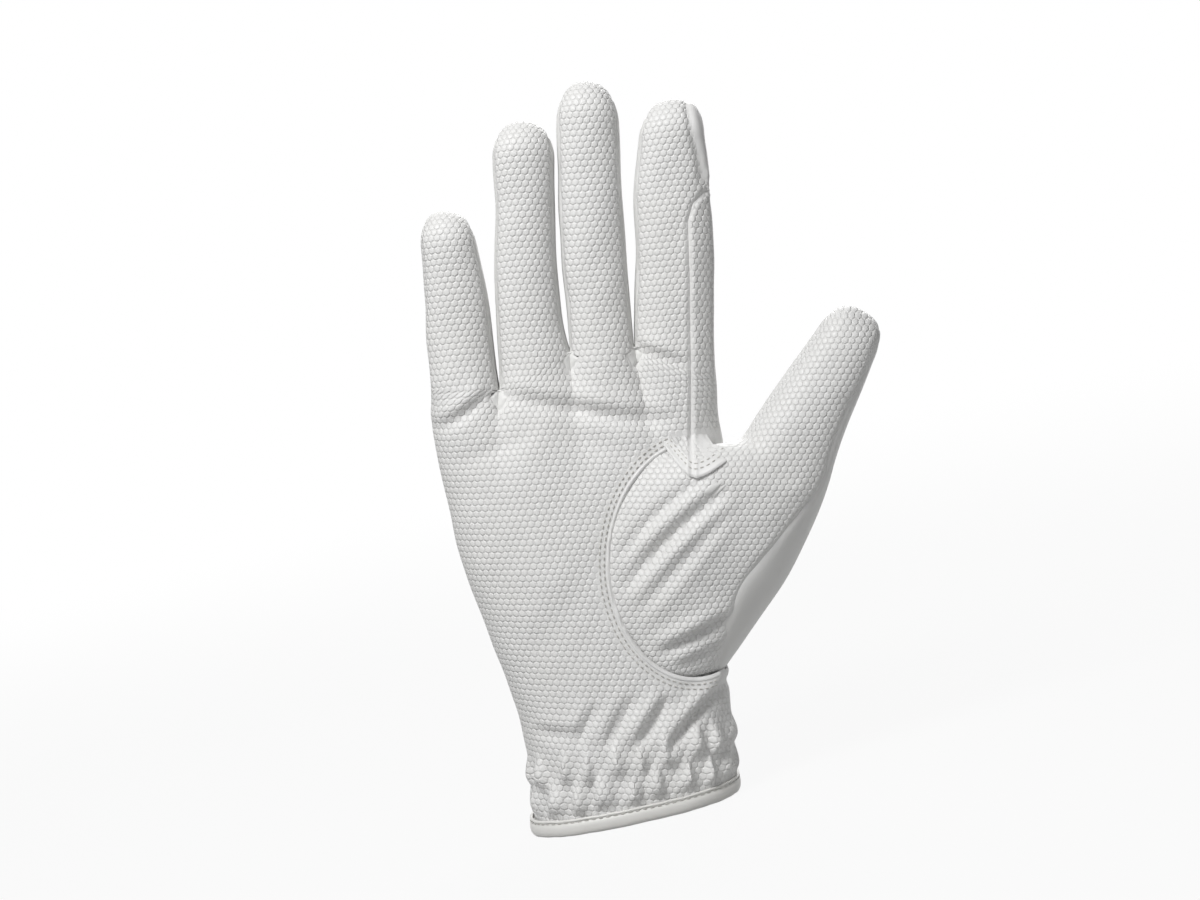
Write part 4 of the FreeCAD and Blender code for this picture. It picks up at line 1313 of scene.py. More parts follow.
@dataclass(frozen=True)
class Stitching:
    """Rows of thread stitches that follow lines on the leather."""

    length: float = 1.5
    gap: float = 0.75
    thickness: float = 0.42

    @cache
    def tree(self) -> bpy.types.NodeTree:
        """The node tree that lays stitches along a line, made once.

        Returns:
            A tree with its sizes as named inputs.
        """
        tree = bpy.data.node_groups.new("Stitch row", "GeometryNodeTree")
        face = tree.interface
        face.new_socket(name="Line", in_out="INPUT", socket_type="NodeSocketGeometry")
        sizes = (("Stitch length", self.length), ("Gap", self.gap), ("Thickness", self.thickness))
        for label, value in sizes:
            item = face.new_socket(name=label, in_out="INPUT", socket_type="NodeSocketFloat")
            item.default_value = value * MM
        face.new_socket(name="Thread", in_out="INPUT", socket_type="NodeSocketMaterial")
        face.new_socket(name="Stitches", in_out="OUTPUT", socket_type="NodeSocketGeometry")
        make = Node(tree)
        start, end = make.add("NodeGroupInput"), make.add("NodeGroupOutput")
        given = start.outputs
        line = make.fill(make.add("GeometryNodeMeshToCurve"), Mesh=given["Line"])
        step = make.math("ADD", given["Stitch length"], given["Gap"])
        resample = make.add("GeometryNodeResampleCurve", mode="LENGTH")
        make.fill(resample, Curve=line.outputs[0], Length=step)
        ball = make.fill(make.add("GeometryNodeMeshUVSphere"), Segments=8, Rings=5, Radius=0.5)
        shape = make.add("ShaderNodeCombineXYZ")
        make.fill(shape, X=given["Thickness"], Y=given["Thickness"], Z=given["Stitch length"])
        tangent = make.add("GeometryNodeInputTangent")
        turn = make.add("FunctionNodeAlignRotationToVector", axis="Z")
        make.fill(turn, Vector=tangent.outputs[0])
        lay = make.add("GeometryNodeInstanceOnPoints")
        make.fill(lay, Points=resample.outputs[0], Instance=ball.outputs["Mesh"],
                  Rotation=turn.outputs[0], Scale=shape.outputs[0])
        real = make.add("GeometryNodeRealizeInstances")
        make.join(lay.outputs[0], real.inputs[0])
        dress = make.add("GeometryNodeSetMaterial")
        make.fill(dress, Geometry=real.outputs[0], Material=given["Thread"])
        make.join(dress.outputs[0], end.inputs[0])
        return tree

    def row(self, name: str, lines: Sequence[Array], length: float, gap: float) -> Object:
        """Stitches along lines, as one plain mesh.

        Args:
            name: piece name.
            lines: arrays of points in the hand's plane, in millimetres.
            length: length of a stitch.
            gap: space between stitches.

        Returns:
            The object, not yet riding on a body.
        """
        points, edges = [], []
        for line in lines:
            base = len(points)
            points += upright(np.asarray(line)).tolist()
            edges += [(base + i, base + i + 1) for i in range(len(line) - 1)]
        mesh = bpy.data.meshes.new(f"{name}_line")
        mesh.from_pydata(points, edges, [])
        obj = placed(f"{name}_line", mesh)
        tree = self.tree()
        modifier = obj.modifiers.new("Stitches", "NODES")
        modifier.node_group = tree
        values = {"Stitch length": length * MM, "Gap": gap * MM,
                  "Thickness": self.thickness * MM, "Thread": Finish.THREAD.material()}
        for item in tree.interface.items_tree:
            if item.in_out == "INPUT" and item.name in values:
                modifier[item.identifier] = values[item.name]
        view = bpy.context.evaluated_depsgraph_get()
        view.update()
        plain = bpy.data.meshes.new_from_object(obj.evaluated_get(view))
        plain.name = name
        bpy.data.objects.remove(obj, do_unlink=True)
        plain.polygons.foreach_set("use_smooth", np.ones(len(plain.polygons), bool))
        return placed(name, plain)


def skin_at(sheet: Sheet, places: Array, lift: float = 0.0, blur: float = 0.6) -> Array:
    """Points on the skin of a palm-side sheet over places in the hand's plane.

    Args:
        sheet: the finished sheet.
        places: array (count, 2) of x and z.
        lift: height above the skin.
        blur: reach in millimetres over which the skin is evened out.

    Returns:
        Array (count, 3).
    """
    facing = sheet.normals[..., 1] < -0.1
    skin = sheet.points[facing]
    found = np.empty((len(places), 3))
    for i, (x, z) in enumerate(places):
        d = (skin[:, 0] - x) ** 2 + (skin[:, 2] - z) ** 2
        weight = np.exp(-(d - d.min()) / blur ** 2)
        found[i] = x, (skin[:, 1] * weight).sum() / weight.sum() - lift, z
    return found


def raised_edge(sheet: Sheet, path: Callable[[float, float], Pair], count: int,
                width: float = 1.5, rise: float = 0.55) -> Sheet:
    """Folded edge of leather that stands up beside a seam.

    Args:
        sheet: the leather it lies on.
        path: (x, z) for a share along the seam and a distance outside it.
        count: number of points along.
        width: its width.
        rise: its height.

    Returns:
        The strip as a sheet with its scales pressed flat.
    """
    across = np.array(spread(0.0, 1.0, 9))
    flat = np.array([path(t, w * width) for t in spread(0.0, 1.0, count) for w in across])
    grid = skin_at(sheet, flat).reshape(count, 9, 3)
    grid[..., 1] -= rise * np.sin(np.pi * across) ** 0.6 - 0.22
    return Sheet(grid, chart_of(grid, 4), thickness=0.7).pressed(np.ones((count, 9)))


# ---- Lines that the leather is cut along ----

@dataclass(frozen=True)
class Cutting:
    """Signed shapes in the hand's plane: positive outside, in millimetres."""

    hole_x: float = 19.0
    hole_z: float = 79.5
    half_width: float = 27.0
    half_height: float = 36.0
    seam_start: float = 72.0
    seam_end: float = 285.0
    leg: tuple[Pair, ...] = (
        (8.3, 114.6), (10.0, 112.6), (13.0, 109.0), (16.0, 106.2), (18.5, 105.6), (22.0, 107.2),
        (29.2, 112.0))
    slit_x: float = -2.0
    slit_half: float = 2.6
    slit_top: float = 46.0
    patch_line: tuple[Pair, ...] = (
        (16.7, 60.0), (16.7, 100.0), (16.7, 135.0), (16.2, 165.0), (15.6, 183.0), (17.0, 188.5),
        (20.5, 192.0), (26.0, 194.0), (44.0, 195.0))

    def seam(self, share: float, grow: float = 0.0) -> Pair:
        """Point of the oval thumb seam for a share from its upper to its lower end."""
        turn = math.radians(mix(self.seam_start, self.seam_end, share))
        return (self.hole_x + (self.half_width + grow) * math.cos(turn),
                self.hole_z + (self.half_height + grow) * math.sin(turn))

    def leg_height(self, x: float) -> float:
        """Height of the seam's short leg, from the top of the oval to the crotch of the thumb."""
        return float(np.interp(x, *zip(*self.leg)))

    def outside_hole(self, x: Array, z: Array) -> Array:
        """Distance outside the thumb's oval and the straight cut beside it."""
        dx, dz = (x - self.hole_x) / self.half_width, (z - self.hole_z) / self.half_height
        r = np.maximum(np.hypot(dx, dz), 1e-6)
        slope = np.hypot(dx / self.half_width, dz / self.half_height) / r
        oval = (r - 1.0) / np.maximum(slope, 1e-6)
        low, high = self.seam(1.0), self.seam(0.0)
        beside = np.maximum(np.maximum(low[1] - z, z - high[1]), low[0] - x)
        return np.where(x > high[0], np.minimum(oval, beside), oval)

    def before_patch(self, x: Array, z: Array) -> Array:
        """Distance to the palm side of the forefinger's patch."""
        _, signed, _ = segment_distance(x, z, self.patch_line)
        above = z - self.seam(0.0)[1] + 1.0
        return np.where(above < 0, 9.0, signed)

    def outside_slit(self, x: Array, z: Array) -> Array:
        """Distance outside the slit at the back of the cuff."""
        across, height = stood(x, z)
        a, h = across - self.slit_x, height - (self.slit_top - self.slit_half)
        return np.where(h > 0, np.hypot(a, h), np.abs(a)) - self.slit_half

    @staticmethod
    def kite(x: float, z: float, half: float = 2.6, length: float = 7.5) -> Plane:
        """Distance outside a kite that hangs from a crotch."""
        widest = length * 0.42

        def outside(px: Array, pz: Array) -> Array:
            """Distance outside this kite."""
            down = (z + 1.0) - pz
            edge = np.where(down < widest, half * down / widest, half * (length - down) / (length - widest))
            return np.maximum(np.abs(px - x) - edge, down - length)
        return outside


CUT = Cutting()


# ---- The leather of the hand ----

STEP = 0.85          # spacing of the points of the leather, in millimetres
STRIP_COLUMNS = 27
WALL_COLUMNS = 17
FRONT = tuple(spread(-WALL_ANGLE, WALL_ANGLE, 7))
BACK = tuple(spread(180 - WALL_ANGLE, 180 + WALL_ANGLE, 7))
ULNAR = tuple(spread(-180 + WALL_ANGLE, -WALL_ANGLE, 9))
RADIAL = tuple(spread(WALL_ANGLE, 180 - WALL_ANGLE, 9))


def joined(low: Array, high: Array, reach: int = 9, rounds: int = 26) -> Array:
    """Lower and upper grid of one strip, with the step in slope between them smoothed.

    Args:
        low: rows below the shared row.
        high: rows from the shared row up.
        reach: rows on either side that move.
        rounds: how often they are evened out.

    Returns:
        The combined grid; its side edges stay where they are.
    """
    grid = np.concatenate([low, high[1:]])
    middle = len(low) - 1
    weight = np.zeros(len(grid))
    span = np.arange(-reach, reach + 1)
    weight[middle - reach:middle + reach + 1] = np.cos(span / (reach + 1) * math.pi / 2) ** 2
    edge = np.minimum(np.arange(grid.shape[1]), np.arange(grid.shape[1])[::-1])
    across = smoothstep(0.0, 4.0, edge.astype(float))
    share = (weight[:, None] * across[None, :])[..., None]
    for _ in range(rounds):
        mean = grid.copy()
        mean[1:-1] = (grid[:-2] + grid[2:]) / 2
        grid = grid + (mean - grid) * share * 0.7
    return grid


@dataclass
class Strip:
    """One finger's strip of leather, from the cuff to the fingertip, and its row at the crotch."""

    grid: Array
    crotch: int


@dataclass
class HandLeather:
    """Palm side or back of the hand with the leather that runs on into the fingers."""

    back: bool = False
    rows: int = 168
    foot_share: float = 0.5

    def __post_init__(self) -> None:
        """Lay out all strips side by side."""
        order = FINGERS[::-1] if self.back else FINGERS
        angles = {d.name: self.palm_angles(i) for i, d in enumerate(FINGERS)}
        plan = [(d, angles[d.name], BACK if self.back else FRONT, STRIP_COLUMNS) for d in order]
        if not self.back:
            plan = [(LITTLE, ULNAR, ULNAR, WALL_COLUMNS)] + plan + [(INDEX, RADIAL, RADIAL, WALL_COLUMNS)]
        first_net = self.foot_net(plan[0][0], plan[0][1], plan[0][2])
        params = even_params(first_net, self.rows)
        self.strips: list[Strip] = []
        blocks = []
        for digit, low_angles, high_angles, columns in plan:
            low = rows_of(self.foot_net(digit, low_angles, high_angles), STEP, columns, params)
            high = rows_of(digit.panel_net(high_angles), STEP, columns)
            strip = Strip(joined(low, high), len(low) - 1)
            self.strips.append(strip)
            block = strip.grid[:len(low)]
            blocks.append(block if not blocks else block[:, 1:])
        points = np.concatenate(blocks, axis=1)
        self.firsts = np.cumsum([0] + [s.grid.shape[1] - 1 for s in self.strips[:-1]])
        anchor = int(points.shape[1] // 2)
        chart = chart_of(points, anchor, u0=float(points[40, anchor, 0]))
        self.base = Sheet(points, chart)

    def palm_angles(self, index: int) -> list[float]:
        """Section angles on the hand of the strip under a finger."""
        low, high = PALM_STRIPS[index], PALM_STRIPS[index + 1]
        angles = [mix(-WALL_ANGLE, WALL_ANGLE, mix(low, high, t)) for t in spread(0, 1, 7)]
        return [180.0 - a for a in angles][::-1] if self.back else angles

    def foot_net(self, digit: Digit, low: Sequence[float], high: Sequence[float]) -> Array:
        """Control net of a strip from the cuff to the foot of a finger.

        Args:
            digit: the finger.
            low: section angles on the hand.
            high: section angles on the finger.

        Returns:
            Net of points.
        """
        foot = [digit.on_level(a, digit.shaft_level(0.0)) for a in high]
        net = [[station.point(a) for a in low] for station in PALM]
        for i, place in enumerate(foot):
            plain = net[-1][i]
            net[-1][i] = mix(plain, np.array([place[0], place[1], plain[2]]), self.foot_share)
        net.append(foot)
        return np.array(net)

    def rise(self, sheet: Sheet) -> Array:
        """Folds and waves of the leather, in millimetres."""
        if self.back:
            x, z = plane(sheet.points)
            cuff = smoothstep(45.0, 15.0, z)
            return 0.22 * ripple(x, z, 22.0, 31) + cuff * 0.25 * np.sin(sheet.chart[..., 0] * 0.9)
        return Relief.palm(sheet.points, sheet.chart)

    def finger_sheet(self, picks: Sequence[int]) -> Sheet:
        """Panel of a finger above the crotch line, from one or two neighbouring strips.

        Args:
            picks: numbers of the strips.

        Returns:
            The sheet, raised like the leather below it.
        """
        grids = [self.strips[k].grid for k in picks]
        crotch = self.strips[picks[0]].crotch
        rows = min(len(g) for g in grids)
        full = [self.match_rows(g, crotch, rows) for g in grids]
        grid = np.concatenate([full[0]] + [g[:, 1:] for g in full[1:]], axis=1)
        normals = grid_normals(grid)
        first = self.firsts[picks[0]]
        columns = slice(first, first + grid.shape[1])
        hand_normal = self.base.normals[-1, columns]
        shared = hand_normal + normals[crotch]
        shared /= np.linalg.norm(shared, axis=-1, keepdims=True)
        self.base.normals[-1, columns] = shared
        upper, chart0 = grid[crotch:], self.base.chart[-1, columns]
        middle = upper.shape[1] // 2
        chart = chart_of(upper, middle, v0=chart0[:, 1], u0=float(chart0[middle, 0]))
        found = normals[crotch:]
        found[0] = shared
        sheet = Sheet(upper, chart, found)
        return sheet.moved(self.rise(sheet))

    @staticmethod
    def match_rows(grid: Array, crotch: int, rows: int) -> Array:
        """Grid whose part above the crotch has the wanted number of rows in all."""
        if len(grid) == rows:
            return grid
        return np.concatenate([grid[:crotch], with_rows(grid[crotch:], rows - crotch)])

    def hand_sheet(self) -> Sheet:
        """The hand's own leather, raised, still uncut."""
        return self.base.again().moved(self.rise(self.base))


# ---- Sub-assemblies ----

CROTCHES = {"little_ring": LITTLE_RING, "ring_middle": RING_MIDDLE, "middle_index": MIDDLE_INDEX}
PATCH_PRESS = (0.5, 1.4, 0.85)   # the patch's seam flattens the scales from the first distance to the second


@dataclass
class HandPanels:
    """Palm panel, back panel, quirks and the foot of the forefinger's patch; they ride on the hand."""

    quirk_sink: float = 0.5

    def __post_init__(self) -> None:
        """Lay out the leather of both sides."""
        self.front = HandLeather()
        self.rear = HandLeather(back=True)
        names = [digit.name for digit in FINGERS]
        self.finger_fronts = {name: self.front.finger_sheet(picks)
                              for name, picks in zip(names, ((0, 1), (2,), (3,), (4, 5)))}
        self.finger_backs = {name: self.rear.finger_sheet((k,)) for k, name in enumerate(names[::-1])}

    def outside_quirks(self, x: Array, z: Array) -> Array:
        """Distance outside all three quirks."""
        return np.min([CUT.kite(*place)(x, z) for place in CROTCHES.values()], axis=0)

    def build(self) -> list[Object]:
        """Make the pieces.

        Returns:
            The objects, riding on the hand.
        """
        palm = self.front.hand_sheet()
        x, z = plane(palm.points)
        hole, patch, quirks = CUT.outside_hole(x, z), CUT.before_patch(x, z), self.outside_quirks(x, z)
        whole = palm.again()
        palm.sunk(hole, 0.35, 0.5, 0.0).sunk(np.abs(patch), 0.35, 0.9, 0.30).sunk(quirks, 0.45, 1.0, 0.12)
        palm.flattened(hole, 1.0, 1.7).flattened(hole, 3.8, 5.0, 0.75)
        palm.flattened(np.abs(patch), *PATCH_PRESS).flattened(quirks, 0.4, 1.4)
        self.palm, foot = palm.again(), palm.again()
        palm.flanged("lr").trimmed(CUT.outside_hole).trimmed(CUT.before_patch).trimmed(self.outside_quirks)
        foot.trimmed(CUT.outside_hole).trimmed(lambda a, b: -CUT.before_patch(a, b))
        foot.keep = foot.keep & (foot.points[:-1, :-1, 2] > CUT.seam(0.0)[1] - 0.5)
        rear = self.rear.hand_sheet()
        rear.rolled("lr", 0.5, 1.3)
        rear.flanged("lr").trimmed(CUT.outside_slit)
        edge = raised_edge(self.palm, lambda t, w: CUT.seam(mix(0.165, 1.0, t), w - 0.1), 240)
        made = [leather_piece("palm_panel", [palm, edge], Finish.EMBOSSED),
                leather_piece("index_side_patch_base", [foot], Finish.EMBOSSED),
                leather_piece("back_panel", [rear], Finish.SMOOTH)]
        made += [self.quirk(f"{name}_quirk", whole, place) for name, place in CROTCHES.items()]
        for obj in made:
            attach(obj, "hand")
        return made

    def quirk(self, name: str, palm: Sheet, place: Pair) -> Object:
        """Small diamond let into the palm under a crotch.

        Args:
            name: node and piece name.
            palm: uncut palm leather.
            place: the crotch.

        Returns:
            The piece.
        """
        near = np.hypot(palm.points[..., 0] - place[0], palm.points[..., 2] - place[1] + 3.5)
        r, c = np.unravel_index(np.argmin(near), near.shape)
        r0, r1 = max(0, r - 9), min(near.shape[0], r + 9)
        cut = (slice(r0, r1), slice(c - 6, c + 7))
        sheet = Sheet(self.refined(palm.points[cut]), self.refined(palm.chart[cut]))
        outside = CUT.kite(*place, half=2.7, length=7.7)
        d = -outside(*plane(sheet.points))
        depth = -self.quirk_sink * (1 - smoothstep(0.0, 1.0, d)) + 0.15 * smoothstep(0.6, 1.8, d)
        sheet.moved(depth).trimmed(lambda a, b: -outside(a, b))
        return leather_piece(name, [sheet], Finish.SMOOTH)

    @staticmethod
    def refined(grid: Array, times: int = 3) -> Array:
        """The same grid with its spacing divided."""
        for axis in (0, 1):
            grid = np.moveaxis(grid, axis, 0)
            grid = np.moveaxis(with_rows(grid, (len(grid) - 1) * times + 1), 0, axis)
        return grid


@dataclass
class FingerStall:
    """One finger: front, back and side walls, parted half way between its two joints."""

    digit: Digit
    front: Sheet
    back: Sheet
    saddle: float = 1.5
    wall_columns: int = 15
    tip_crease: tuple[Pair, ...] = ((20.0, 193.0), (18.6, 203.0), (16.5, 210.0), (15.0, 219.0))

    def __post_init__(self) -> None:
        """Read the finger's joints."""
        name = self.digit.name
        self.bends = Bends(self.digit, (f"{name}_knuckle", f"{name}_middle_joint"))

    def cut_row(self, sheet: Sheet) -> int:
        """Row half way between the two bending lengths."""
        height = self.bends.height(sheet.points).mean(axis=1)
        return int(np.argmin(np.abs(height - self.bends.between() / 2)))

    def halves(self, name: str, sheets: Sequence[Sheet], finish: Finish,
               folds: Sequence[str] = ()) -> list[Object]:
        """The lower and upper length of a panel, each for the node of its name.

        Args:
            name: piece name without its finger and its length.
            sheets: whole sheets.
            finish: their finish.
            folds: nodes of the folds that the lower and the upper length take in too.

        Returns:
            Both pieces.
        """
        made = []
        for length, word in enumerate(("lower", "upper")):
            parts = []
            for sheet in sheets:
                cut = self.cut_row(sheet)
                last = len(sheet.points) - 1
                parts.append(sheet.rows(0, cut) if length == 0 else sheet.rows(cut, last))
            piece = f"{self.digit.name}_{name}_{word}"
            made.append(leather_piece(piece, parts, finish, folds[length:length + 1]))
            self.bends.dress(made[-1], length)
        return made

    def walls(self) -> list[tuple[int, Sheet]]:
        """Side walls that are sewn in.

        Returns:
            Number of the side, and its sheet from the crotch up.
        """
        found = []
        for side in (0, 1):
            if self.digit.free[side]:
                continue
            grid = rows_of(self.digit.wall_net(side), STEP, self.wall_columns)
            sheet = Sheet(grid, chart_of(grid, self.wall_columns // 2))
            sheet.moved(0.12 * ripple(*plane(grid), 11.0, 40 + side)).rolled("lr", 0.55, 1.4, 0.0)
            found.append((side, sheet.flanged("lr").flanged("t", 1.4, 3.5)))
        return found

    def build(self) -> list[Object]:
        """Make the finger's pieces.

        Returns:
            The objects.
        """
        name = self.digit.name
        for panel in (self.front, self.back):
            panel.rolled("lrt").flanged("lr", fade=12).flanged("t", out=0.1)
        patch = [self.split_patch()] if name == "index" else []
        folds = (f"{name}_knuckle_fold", f"{name}_middle_fold")
        made = self.halves("front", [self.front], Finish.EMBOSSED, folds)
        for sheet in patch:
            made += self.halves("side_patch", [sheet], Finish.EMBOSSED)
        made += self.halves("back", [self.back], Finish.SMOOTH)
        word = "fourchettes" if name in ("ring", "middle") else "fourchette"
        made += self.halves(word, [self.from_saddle(s) for _, s in self.walls()], Finish.SMOOTH)
        return made

    def from_saddle(self, wall: Sheet) -> Sheet:
        """The wall without its lowest length, which belongs to the saddle."""
        first = int(round(self.saddle / STEP))
        return wall.rows(first, len(wall.points) - 1)

    def split_patch(self) -> Sheet:
        """Cut the forefinger's front along its patch.

        Returns:
            The patch on its thumb side.
        """
        front = self.front
        x, z = plane(front.points)
        beside = np.abs(CUT.before_patch(x, z))
        front.moved(-0.35 * (1 - smoothstep(0.0, 0.9, beside)) + 0.30 * bell(beside, 1.35, 0.55))
        front.flattened(beside, *PATCH_PRESS)
        _, beyond, _ = segment_distance(x, z, self.tip_crease)
        high = smoothstep(194.0, 197.0, z)
        front.pressed(high * smoothstep(-0.4, 0.4, -beyond))
        front.moved((-0.7 * bell(beyond, 0.0, 0.8) + 0.5 * bell(beyond, -2.2, 1.3)) * high)
        patch = front.again()
        front.trimmed(CUT.before_patch)
        return patch.trimmed(lambda a, b: -CUT.before_patch(a, b))


@dataclass
class CrotchSaddle:
    """Foot of the two walls between neighbouring fingers, joined at the crotch."""

    first: FingerStall
    second: FingerStall

    def build(self) -> Object:
        """Make the saddle.

        Returns:
            The object, riding on the hand.
        """
        walls = []
        for stall, side in ((self.first, 1), (self.second, 0)):
            sheet = dict(stall.walls())[side]
            rows = int(round(stall.saddle / STEP))
            points = sheet.points[:rows + 1]
            walls.append(points if side == 1 else points[:, ::-1])
        grid = np.concatenate([walls[0][::-1], (walls[0][:1] + walls[1][:1]) / 2 - [0, 0, 0.25], walls[1]])
        grid = grid[:, ::-1]
        sheet = Sheet(grid, chart_of(grid, grid.shape[1] // 2), thickness=0.9)
        name = f"{self.first.digit.name}_{self.second.digit.name}_fourchette_base"
        obj = leather_piece(name, [sheet], Finish.SMOOTH)
        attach(obj, "hand")
        return obj


@dataclass
class ThumbStall:
    """Set-in thumb: front and back panels from the oval seam over both joints to the tip."""

    panels: HandPanels
    leg: float = 0.2
    thenar_bulge: float = 4.0
    outer_bulge: float = 3.5
    first_joint: float = 118.0
    seam_clearance: float = 0.2
    seam_front: float = 50.0
    gusset_corners: tuple[Pair, ...] = ((-8.5, -13.0), (-3.8, -14.4), (1.4, -9.0), (-4.8, -9.2))
    gusset_points: int = 26
    rounds: int = 25

    def __post_init__(self) -> None:
        """Read the joints and make smooth curves of the palm's stations."""
        self.bends = Bends(THUMB, ("thumb_base_bend", "thumb_tip_bend"))
        heights = [s.z for s in PALM]
        self.curves = [smooth_curve(list(zip(heights, [getattr(s, f) for s in PALM])))
                       for f in ("x", "z", "half_width", "half_depth", "tilt")]

    def station(self, z: float) -> Station:
        """The palm's section at a height between its stations."""
        return Station(*[curve(z) for curve in self.curves])

    def ring_point(self, angle: float, z: float, inset: float = 0.0) -> Array:
        """Point on or under the palm's skin at a section angle and a height."""
        level = z
        point = self.station(level).point(angle, -inset)
        for _ in range(self.rounds):
            point = self.station(level).point(angle, -inset)
            level += z - point[2]
        return point

    def palm_angle(self, x: float, z: float) -> float:
        """Section angle of the palm side's skin.

        Args:
            x: place across.
            z: place along.

        Returns:
            The angle in degrees.
        """
        level = z
        station = self.station(level)
        for _ in range(self.rounds):
            station = self.station(level)
            level = z - (x - station.x) * math.tan(math.radians(station.tilt))
        across = (x - station.x) / (station.half_width * math.cos(math.radians(station.tilt)))
        return section_angle(across, 0.99)

    def foot(self, angle: float, grow: float = 0.55, inset: float = 0.0) -> Array:
        """Where the thumb's leather starts: on the oval, then round the back of the hand.

        Args:
            angle: section angle on the thumb.
            grow: how far outside the seam.
            inset: depth under the skin.

        Returns:
            The point in the hand's plane.
        """
        out = grow - 2 * self.seam_clearance
        if angle <= 90:
            x, z = CUT.seam((angle + 90) / 180, out)
            return self.ring_point(self.palm_angle(x, z), z, inset)
        ends = [CUT.seam(t, out) for t in (1.0, 0.0)]
        turns = [self.palm_angle(x, z) for x, z in ends]
        share = (angle - 90) / 180
        along = min(1.0, max(0.0, (share - self.leg) / (1 - 2 * self.leg)))
        side = 0 if share < 0.5 else 1
        round_back = min(1.0, min(share, 1 - share) / self.leg)
        turn = mix(turns[side], 180 - WALL_ANGLE - 1 + 2.0 * grow, round_back)
        return self.ring_point(turn, mix(ends[0][1], ends[1][1], along), inset)

    def angles(self, front: bool, share: float) -> list[float]:
        """Section angles of a panel's columns; the outer seam swings to the front above the foot."""
        seam = mix(90.0, self.seam_front, float(smoothstep(0.0, 0.22, np.float64(share))))
        return spread(-90, seam, 11) if front else spread(seam, 270, 16)

    def net(self, front: bool) -> Array:
        """Control net from the foot to the tip.

        Args:
            front: true for the front panel.

        Returns:
            Net of points (rows, columns, 3).
        """
        rows = []
        for r in spread(0.0, 1.0, 6):
            row = []
            for angle in self.angles(front, 0.45 * r):
                ring = THUMB.on_level(angle, lambda x, y: self.first_joint)
                swell = 4 * r * (1 - r)
                forward = max(0.0, math.cos(math.radians(angle)))
                outer = max(0.0, math.sin(math.radians(angle)))
                push = THUMB.across * (self.outer_bulge * outer)
                push = push + np.array([0.0, -self.thenar_bulge * forward, 0.0])
                row.append(mix(self.foot(angle), ring, r) + push * swell)
            rows.append(row)
        for t in spread(0.0, 1.0, 9)[1:]:
            z = mix(self.first_joint, THUMB.shoulder, t)
            angles = self.angles(front, mix(0.45, 0.8, t))
            rows.append([THUMB.on_level(a, lambda x, y, z=z: z) for a in angles])
        for turn in spread(0.0, 1.0, 7)[1:]:
            rows.append([THUMB.tip_point(a, turn) for a in self.angles(front, 1.0)])
        return np.array(rows)

    def panel(self, front: bool, columns: int = 71) -> Array:
        """Fine grid of a panel, with its lower edge tucked in under the leather of the hand."""
        body = rows_of(self.net(front), STEP, columns)
        tuck = np.array([[self.foot(a, grow, inset) for a in self.angles(front, 0.0)]
                         for grow, inset in ((3.2, 2.1), (2.3, 1.7), (1.3, 1.0))])
        return np.concatenate([across_net(tuck, columns), body])

    def plane_chart(self, points: Array) -> Array:
        """Map that keeps the scales' rows level on the ball of the thumb and true at its sides.

        Args:
            points: grid of the front panel.

        Returns:
            Array (rows, columns, 3), like that of chart_of.
        """
        flat = points[..., (0, 2)]
        true = chart_of(points, points.shape[1] // 2)[..., 0]
        centre = flat[:, points.shape[1] // 2:points.shape[1] // 2 + 1]
        wide = np.linalg.norm(flat - centre, axis=-1)
        stretch = np.abs(true) / np.maximum(wide, 1.0)
        stretch = np.clip(stretch, 1.0, 1.6)[..., None]
        return np.dstack([centre + (flat - centre) * stretch, np.zeros(flat.shape[:2])])

    def build(self) -> list[Object]:
        """Make the thumb's panels.

        Returns:
            The objects; the lap and the gusset ride on the hand.
        """
        face, rear = self.panel(True), self.panel(False)
        front, back = Sheet(face, self.plane_chart(face)), Sheet(rear, chart_of(rear, 35))
        front.moved(Relief.thumb(face)).rolled("lrt", 0.5, 1.2, 0.1)
        back.moved(0.22 * ripple(*plane(rear), 15.0, 61)).rolled("lrt", 0.3, 0.9, 0.35)
        for panel in (front, back):
            panel.flanged("lr", out=1.1, fade=7).flanged("t", out=0.1)
        made = []
        folds = {"front_lower": ["thumb_base_fold"], "front_upper": ["thumb_tip_fold"]}
        for side, sheet, finish in (("front", front, Finish.EMBOSSED), ("back", back, Finish.SMOOTH)):
            height = self.bends.height(sheet.points).mean(axis=1)
            low = int(np.argmin(np.abs(height + self.bends.reach)))
            middle = int(np.argmin(np.abs(height - self.bends.between() / 2)))
            cuts = (0, low, middle, len(sheet.points) - 1)
            for k, word in enumerate(("base", "lower", "upper")):
                name, part = f"{side}_{word}", sheet.rows(cuts[k], cuts[k + 1])
                made.append(leather_piece(f"thumb_{name}", [part], finish, folds.get(name, ())))
                self.bends.dress(made[-1], int(word == "upper"))
        made += [self.flap(front), self.gusset(front)]
        return made

